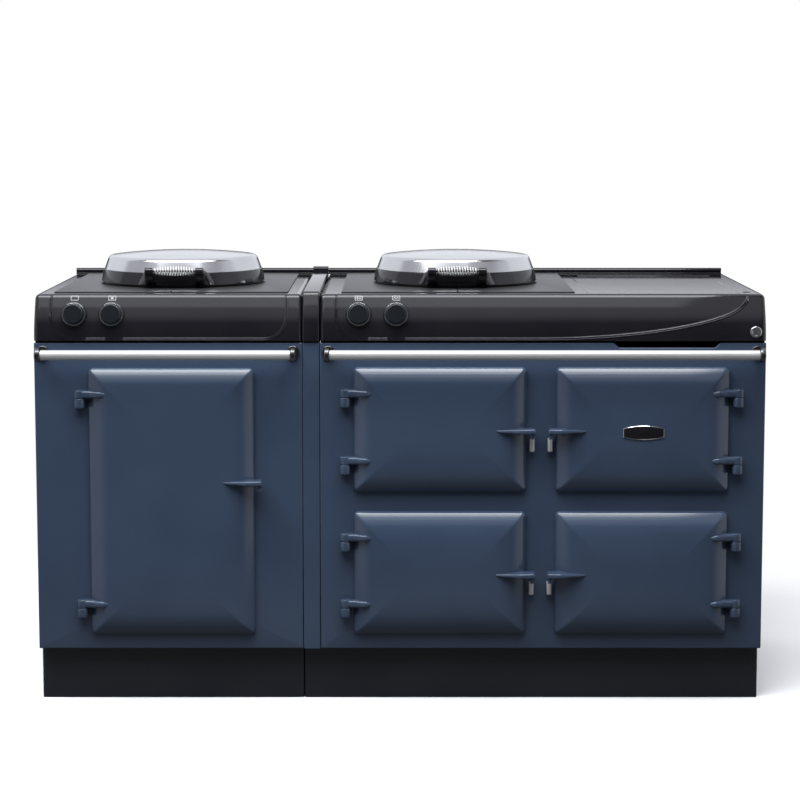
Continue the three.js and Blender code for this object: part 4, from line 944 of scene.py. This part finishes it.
# Hob cover plates: two matt enamelled steel halves laid round each hotplate, with the ears and
# pins of the lid hinge riveted on behind it.
hob_matt = enamel("hob_plate_enamel", (0.012, 0.0115, 0.013, 1), (0.015, 0.0145, 0.016, 1), 0.4, 0.03)
hob_top, hob_bottom = 915, 905
hob_front, hob_back, hob_half = 54, 634.7, 259
hotplate_radius, lid_centre, seam = 170, 345, 0.6
hinge_y, hinge_z, barrel_half = 554, 930, 30
hobs = {"left": -508, "right": 129}
cover_corner, cover_edge, cover_gap, lift_notch = 8, 0.8, 1, 4
barrel_radius, ear_length, lid_pin, lid_pin_length = 8, 10, 3.5, 12
block_half = 7.5
for side, centre in hobs.items():
    for number, half in (("1", -1), ("2", 1)):
        bm = bmesh.new()
        outline = soften([
            (seam + lift_notch, hob_front),
            (hob_half, hob_front),
            (hob_half, hob_back),
            (seam, hob_back),
        ], cover_corner, 6)
        rim = hotplate_radius + cover_gap
        for i in range(61):
            a = math.pi / 2 - math.pi * i / 60
            outline.append(Vector((max(rim * math.cos(a), seam), lid_centre + rim * math.sin(a))))
        outline += [
            Vector((seam, hob_front + lift_notch + 1.5)),
            Vector((seam + 1.2, hob_front + lift_notch)),
            Vector((seam + lift_notch - 1, hob_front + lift_notch - 1.5)),
            Vector((seam + lift_notch, hob_front + 1.5)),
        ]
        top = [at(centre + half * p.x, p.y, hob_top) for p in outline]
        extruded(bm, top if half > 0 else top[::-1], (0, 0, hob_bottom - hob_top))
        upper = [e for e in bm.edges if all(abs(v.co.z - top[0].z) < 1e-6 for v in e.verts)]
        bmesh.ops.bevel(
            bm,
            geom=upper,
            offset=cover_edge / 1000,
            segments=3,
            profile=0.5,
            affect="EDGES",
            material=-1,
        )
        ear_x = centre + half * (barrel_half + 0.3)
        post(bm, at(ear_x, hinge_y, hinge_z), (half, 0, 0), barrel_radius, ear_length, 1.5)
        pin = at(ear_x - half * ear_length, hinge_y, hinge_z)
        post(bm, pin, (half, 0, 0), lid_pin, lid_pin_length, 0.5, 24)
        block_low, block_high = sorted((ear_x, ear_x + half * ear_length))
        block = round_rect((block_low, hinge_y - block_half), (block_high, hinge_y + block_half), 1.5)
        extruded(bm, [at(p.x, p.y, hob_top - 1) for p in block], (0, 0, hinge_z - hob_top + 1))
        node_name = f"hob_cover_{side}_{number}"
        finish_piece(f"fine_{node_name}", bm, hob_matt, "cooker", [node_name])


# Hotplates: thick discs of bare cast iron, machined flat, each resting on the round housing of
# its heater.
iron, iron_shader, iron_place = new_material("hotplate_iron")
speck = noise(iron_place, 700, 2)
feed(
    iron_shader,
    Base_Color=speck.ramp(0.3, 0.7).mix((0.045, 0.045, 0.047, 1), (0.075, 0.075, 0.078, 1)),
    Metallic=0.6,
    Roughness=speck * 0.1 + 0.38,
    Normal=bump(speck, 0.08, 0.0006),
)
housing_radius, housing_bottom, disc_bottom, disc_top = 164, 860, 905, 914
disc = [
    (0, housing_bottom),
    (housing_radius, housing_bottom),
    (housing_radius, disc_bottom),
    (hotplate_radius, disc_bottom),
    (hotplate_radius, disc_top),
    (0, disc_top),
]
for side, centre in hobs.items():
    bm = bmesh.new()
    turned(bm, soften(disc, 1.5), at(centre, lid_centre, 0), sides=128)
    finish_piece(f"fine_hotplate_{side}", bm, iron, "cooker", [f"hotplate_{side}"])


# Lids: a black insulated base on a foot ring, hinged at the back, with a spun and polished
# stainless dome pressed over it.
lid_z = 915
skirt = [
    (0, 5), (176, 5), (176, 0), (184, 0), (184, 5),
    (191, 5), (184.5, 33), (182, 33), (188.5, 7.5), (0, 7.5),
]
lid_web_y, lid_web_half, dome_wall = lid_centre + 183, 4, 2
rim_radius, rim_z, crown_z = 183, 33.3, 74.3
bend, bend_radius, bend_z = 12, 163, 52.5
cone_tilt, bend_end = math.radians(20.5), math.radians(82)
bend_steps, crown_steps = 12, 24
dome_steel = metal("dome_steel", *polished, 0.13, scale=9, depth=0.01)


def dome_profile(thickness):
    """Radius and height from the rim up a cone, round a bend and over the flat crown."""
    points = [(rim_radius - thickness, rim_z)]
    for i in range(bend_steps + 1):
        a = cone_tilt + (bend_end - cone_tilt) * i / bend_steps
        points.append((
            bend_radius + (bend - thickness) * math.cos(a),
            bend_z + (bend - thickness) * math.sin(a),
        ))
    edge_radius, edge_z = points[-1]
    top = crown_z - thickness
    for i in range(1, crown_steps + 1):
        s = 1 - i / crown_steps
        points.append((edge_radius * s, top - (top - edge_z) * s ** 2))
    return points


for side, centre in hobs.items():
    foot = at(centre, lid_centre, lid_z)
    body = f"lid_{side}"
    bm = bmesh.new()
    turned(bm, soften(skirt, 1.2), foot, sides=128)
    barrel = at(centre - barrel_half, hinge_y, hinge_z)
    post(bm, barrel, (1, 0, 0), barrel_radius, 2 * barrel_half, 1.5)
    web = round_rect((centre - barrel_half, lid_web_y), (centre + barrel_half, hinge_y), 1)
    web_bottom = [at(p.x, p.y, hinge_z - lid_web_half) for p in web]
    extruded(bm, web_bottom, (0, 0, 2 * lid_web_half))
    finish_piece(f"fine_lid_base_{side}", bm, black_enamel, body, [f"lid_base_{side}"])
    bm = bmesh.new()
    turned(bm, dome_profile(dome_wall)[::-1] + dome_profile(0), foot, sides=160)
    finish_piece(f"fine_lid_dome_{side}", bm, dome_steel, body, [f"lid_dome_{side}"])


# Lid handles: a black cast bracket whose flared posts carry a rod, and one steel wire wound
# barrel-shaped round it, so that the grip stays cool.
coil_y, coil_z, post_offset, post_width = lid_centre - 215, lid_z + 40, 57, 18
coil_turns, wire, coil_middle, coil_end, coil_gap = 15, 3, 23.6, 14, 0.3
per_turn, wire_sides = 36, 12
rod_radius, eye_radius = 2.6, 8
bar_y, bar_depth, bar_drop, bar_height = lid_centre - 198, 4, 12, 14
# Each post from the lid outwards: y from the lid's middle, flare at the foot, flare above it,
# and the heights of its foot and its top.
post_stations = (
    (-150, 29, 11, 921, 946),
    (-163, 27, 10, 921, 947),
    (-172, 19, 9, 920, 948),
    (-181, 11, 7, 920, 950),
    (-187, 6, 4, 920.5, 952),
    (-192, 2, 2, 922, 955),
    (-198, 0, 0, 925, 957),
    (-208, 0, 0, 933, 960),
    (-215, 0, 0, 945, 960),
)
for side, centre in hobs.items():
    body = f"lid_{side}"
    bm = bmesh.new()
    for sense in (-1, 1):
        eye = at(centre + sense * post_offset - post_width / 2, coil_y, coil_z)
        post(bm, eye, (1, 0, 0), eye_radius, post_width, 2)
        rows = []
        for y, low_flare, flare, low_z, high_z in post_stations:
            inside = sense * (post_offset - post_width / 2 - flare)
            outside = sense * (post_offset + post_width / 2 + flare)
            outside_low = sense * (post_offset + post_width / 2 + low_flare)
            middle_z = (low_z + high_z) / 2
            outline = soften([
                (inside, middle_z),
                (inside, low_z),
                (outside_low, low_z),
                (outside, high_z),
                (inside, high_z),
                (inside, middle_z),
            ], 2.5)
            rows.append([at(centre + p.x, lid_centre + y, p.y) for p in outline[:-1]])
        capped_skin(bm, rows)
    bar_top = coil_z - bar_drop
    bar = round_rect((centre - post_offset, bar_top - bar_height), (centre + post_offset, bar_top), 1.2)
    extruded(bm, [at(p.x, bar_y, p.y) for p in bar], (0, bar_depth, 0))
    rod = at(centre - post_offset, coil_y, coil_z)
    post(bm, rod, (1, 0, 0), rod_radius, 2 * post_offset, 0.4, 24)
    bracket = f"lid_bracket_{side}"
    finish_piece(f"fine_{bracket}", bm, black_enamel, body, [bracket])

    bm = bmesh.new()
    start = post_width / 2 + coil_gap - post_offset
    span = -2 * start - 2 * wire
    total = coil_turns * per_turn
    route = []
    for i in range(total + 1):
        t = i / total
        belly = (coil_middle - coil_end) / 2 * math.sin(math.pi * t) ** 0.8
        radius = coil_end / 2 - wire / 2 + belly
        a = 2 * math.pi * coil_turns * t
        route.append(Vector((start + wire + span * t, radius * math.cos(a), radius * math.sin(a))))
    route = [Vector((start, route[0].y, route[0].z)), *route, Vector((-start, route[-1].y, route[-1].z))]
    rows = []
    for i, point in enumerate(route):
        tangent = (route[min(i + 1, len(route) - 1)] - route[max(i - 1, 0)]).normalized()
        away = Vector((0, point.y, point.z)).normalized()
        up = (away - tangent * away.dot(tangent)).normalized()
        flat = tangent.cross(up)
        angles = [2 * math.pi * k / wire_sides for k in range(wire_sides)]
        ring = [point + (up * math.cos(a) + flat * math.sin(a)) * (wire / 2) for a in angles]
        rows.append([at(centre + p.x, coil_y + p.y, coil_z + p.z) for p in ring])
    capped_skin(bm, rows)
    finish_piece(f"fine_lid_coil_{side}", bm, rail_steel, body, [f"lid_coil_{side}"])


# Control knobs: glossy black moulded discs on a flange, with a thin bright ring pressed on. Each
# is pushed on a spindle, square to the fascia.
knob_black = enamel("knob_black", (0.006, 0.0075, 0.0095, 1), (0.008, 0.0095, 0.0115, 1), 0.12, 0.0)
knob_gap = 1.8
knob = [
    (0, -10), (4, -10), (4, 0), (28, 0), (28, 3),
    (26, 4.2), (23, 4), (22, 16), (20, 19), (0, 18.2),
]
ring_inside, ring_outside, ring_low, ring_high = 22.8, 25.2, 3.4, 5.4
ring = [
    (ring_inside, ring_low),
    (ring_outside, ring_low),
    (ring_outside, ring_high),
    (ring_inside, ring_high),
    (ring_inside, ring_low + 0.1),
]
for name, x in knobs.items():
    seat = at(x, knob_y, knob_z) + knob_axis * knob_gap / 1000
    bm = bmesh.new()
    turned(bm, soften(knob, 1.5, 4), seat, knob_axis, 96)
    finish_piece(f"fine_{name}", bm, knob_black, name, [name])
    bm = bmesh.new()
    turned(bm, soften(ring, 0.5), seat, knob_axis, 96)
    finish_piece(f"ring_{name}", bm, chrome, name)


# Control signs: small white marks fired on the fascia above each knob, the outline of an oven
# with a bare inside, a fan, a grid or a zigzag.
sign_white, sign_shader, sign_place = new_material("sign_white")
sign_cloud = noise(sign_place, 400)
feed(sign_shader, Base_Color=sign_cloud.mix(grey(0.42), grey(0.5)), Roughness=0.5)
sign_half, sign_low, sign_high = 8, 898.5, 907
line_half, line_proud, line_sunk, line_steps = 0.38, 0.25, -0.6, 6
# Each sign's strokes, from (x, height) to (x, height) in shares of its size.
oven_sign = [(-1, 0, -1, 1), (-1, 1, 1, 1), (1, 1, 1, 0), (1, 0, -1, 0)]
fan_sign = [(-0.5, 0.2, 0.5, 0.8), (-0.5, 0.8, 0.5, 0.2), (0, 0.15, 0, 0.85)]
grid_sign = [(-0.35, 0, -0.35, 1), (0.35, 0, 0.35, 1), (-1, 0.5, 1, 0.5)]
zigzag = [(-0.7, 0.35), (-0.35, 0.7), (0, 0.35), (0.35, 0.7), (0.7, 0.35)]
zigzag_sign = [(*start, *end) for start, end in zip(zigzag, zigzag[1:])]
for (name, centre), marks in zip(knobs.items(), ([], fan_sign, grid_sign, zigzag_sign)):
    bm = bmesh.new()
    for x0, rise0, x1, rise1 in oven_sign + marks:
        sign_height = sign_high - sign_low
        start = Vector((centre + x0 * sign_half, sign_low + sign_height * rise0))
        end = Vector((centre + x1 * sign_half, sign_low + sign_height * rise1))
        along = (end - start).normalized()
        aside = Vector((-along.y, along.x)) * line_half
        corners = ((1, line_proud), (-1, line_proud), (-1, line_sunk), (1, line_sunk))
        rows = []
        for i in range(line_steps + 1):
            middle = start.lerp(end, i / line_steps)
            row = []
            for side, out in corners:
                place = middle + aside * side
                row.append(at(place.x, on_curve(fascia_curve, place.y) - out, place.y + out / 2))
            rows.append(row)
        capped_skin(bm, rows)
    finish_piece(f"sign_{name}", bm, sign_white, "cooker")


# Push button: a turned steel button with a dished face, sprung in a hole at the right end of the
# apron.
button_x, button_y, button_z = 781, 3, 831
button = [(0, 0), (13, 0), (13, 8), (11, 10), (8, 9), (6, 8.2), (3, 9.2), (0, 9.6)]
bm = bmesh.new()
turned(bm, soften(button, 1.5, 4), at(button_x, button_y, button_z), (0, -1, 0), 72)
finish_piece("fine_push_button", bm, chrome, "push_button", ["push_button"])


# Towel rails: brushed steel tubes, plugged at each end into a dark cup bracket, whose arm and
# round foot are screwed to the front panel.
rail_y, rail_z, rail_radius, rail_bore = -60, 786, 11, 9.5
bracket_inset, cup_radius, cup_length, cup_edge = 12, 15.5, 12, 3
arm_radius, arm_length, arm_inset = 5.6, 56, 6
foot_radius, foot_length, foot_edge, foot_inset = 15, 8, 2.5, 8
for side, low, high in (("left", left_low, left_high), ("right", right_low, right_high)):
    bm = bmesh.new()
    tube_inset = bracket_inset + cup_length
    tube_length = high - low - 2 * tube_inset
    tube = [
        (rail_bore, 0),
        (rail_radius, 0),
        (rail_radius, tube_length),
        (rail_bore, tube_length),
        (rail_bore, 0),
    ]
    turned(bm, tube, at(low + tube_inset, rail_y, rail_z), (1, 0, 0), 64)
    tube_name = f"towel_rail_{side}"
    rail = finish_piece(f"fine_{tube_name}", bm, rail_steel, "cooker", [tube_name])
    rail.visible_glossy = False
    for number, end, inward in (("1", low + bracket_inset, 1), ("2", high - bracket_inset, -1)):
        bm = bmesh.new()
        post(bm, at(end, rail_y, rail_z), (inward, 0, 0), cup_radius, cup_length, cup_edge, 64)
        arm = at(end + inward * arm_inset, rail_y, rail_z)
        post(bm, arm, (0, 1, 0), arm_radius, arm_length, 0.5)
        foot = at(end + inward * foot_inset, -foot_length, rail_z)
        post(bm, foot, (0, 1, 0), foot_radius, foot_length, foot_edge)
        bracket = f"rail_bracket_{side}_{number}"
        finish_piece(f"fine_{bracket}", bm, dark_metal, "cooker", [bracket])
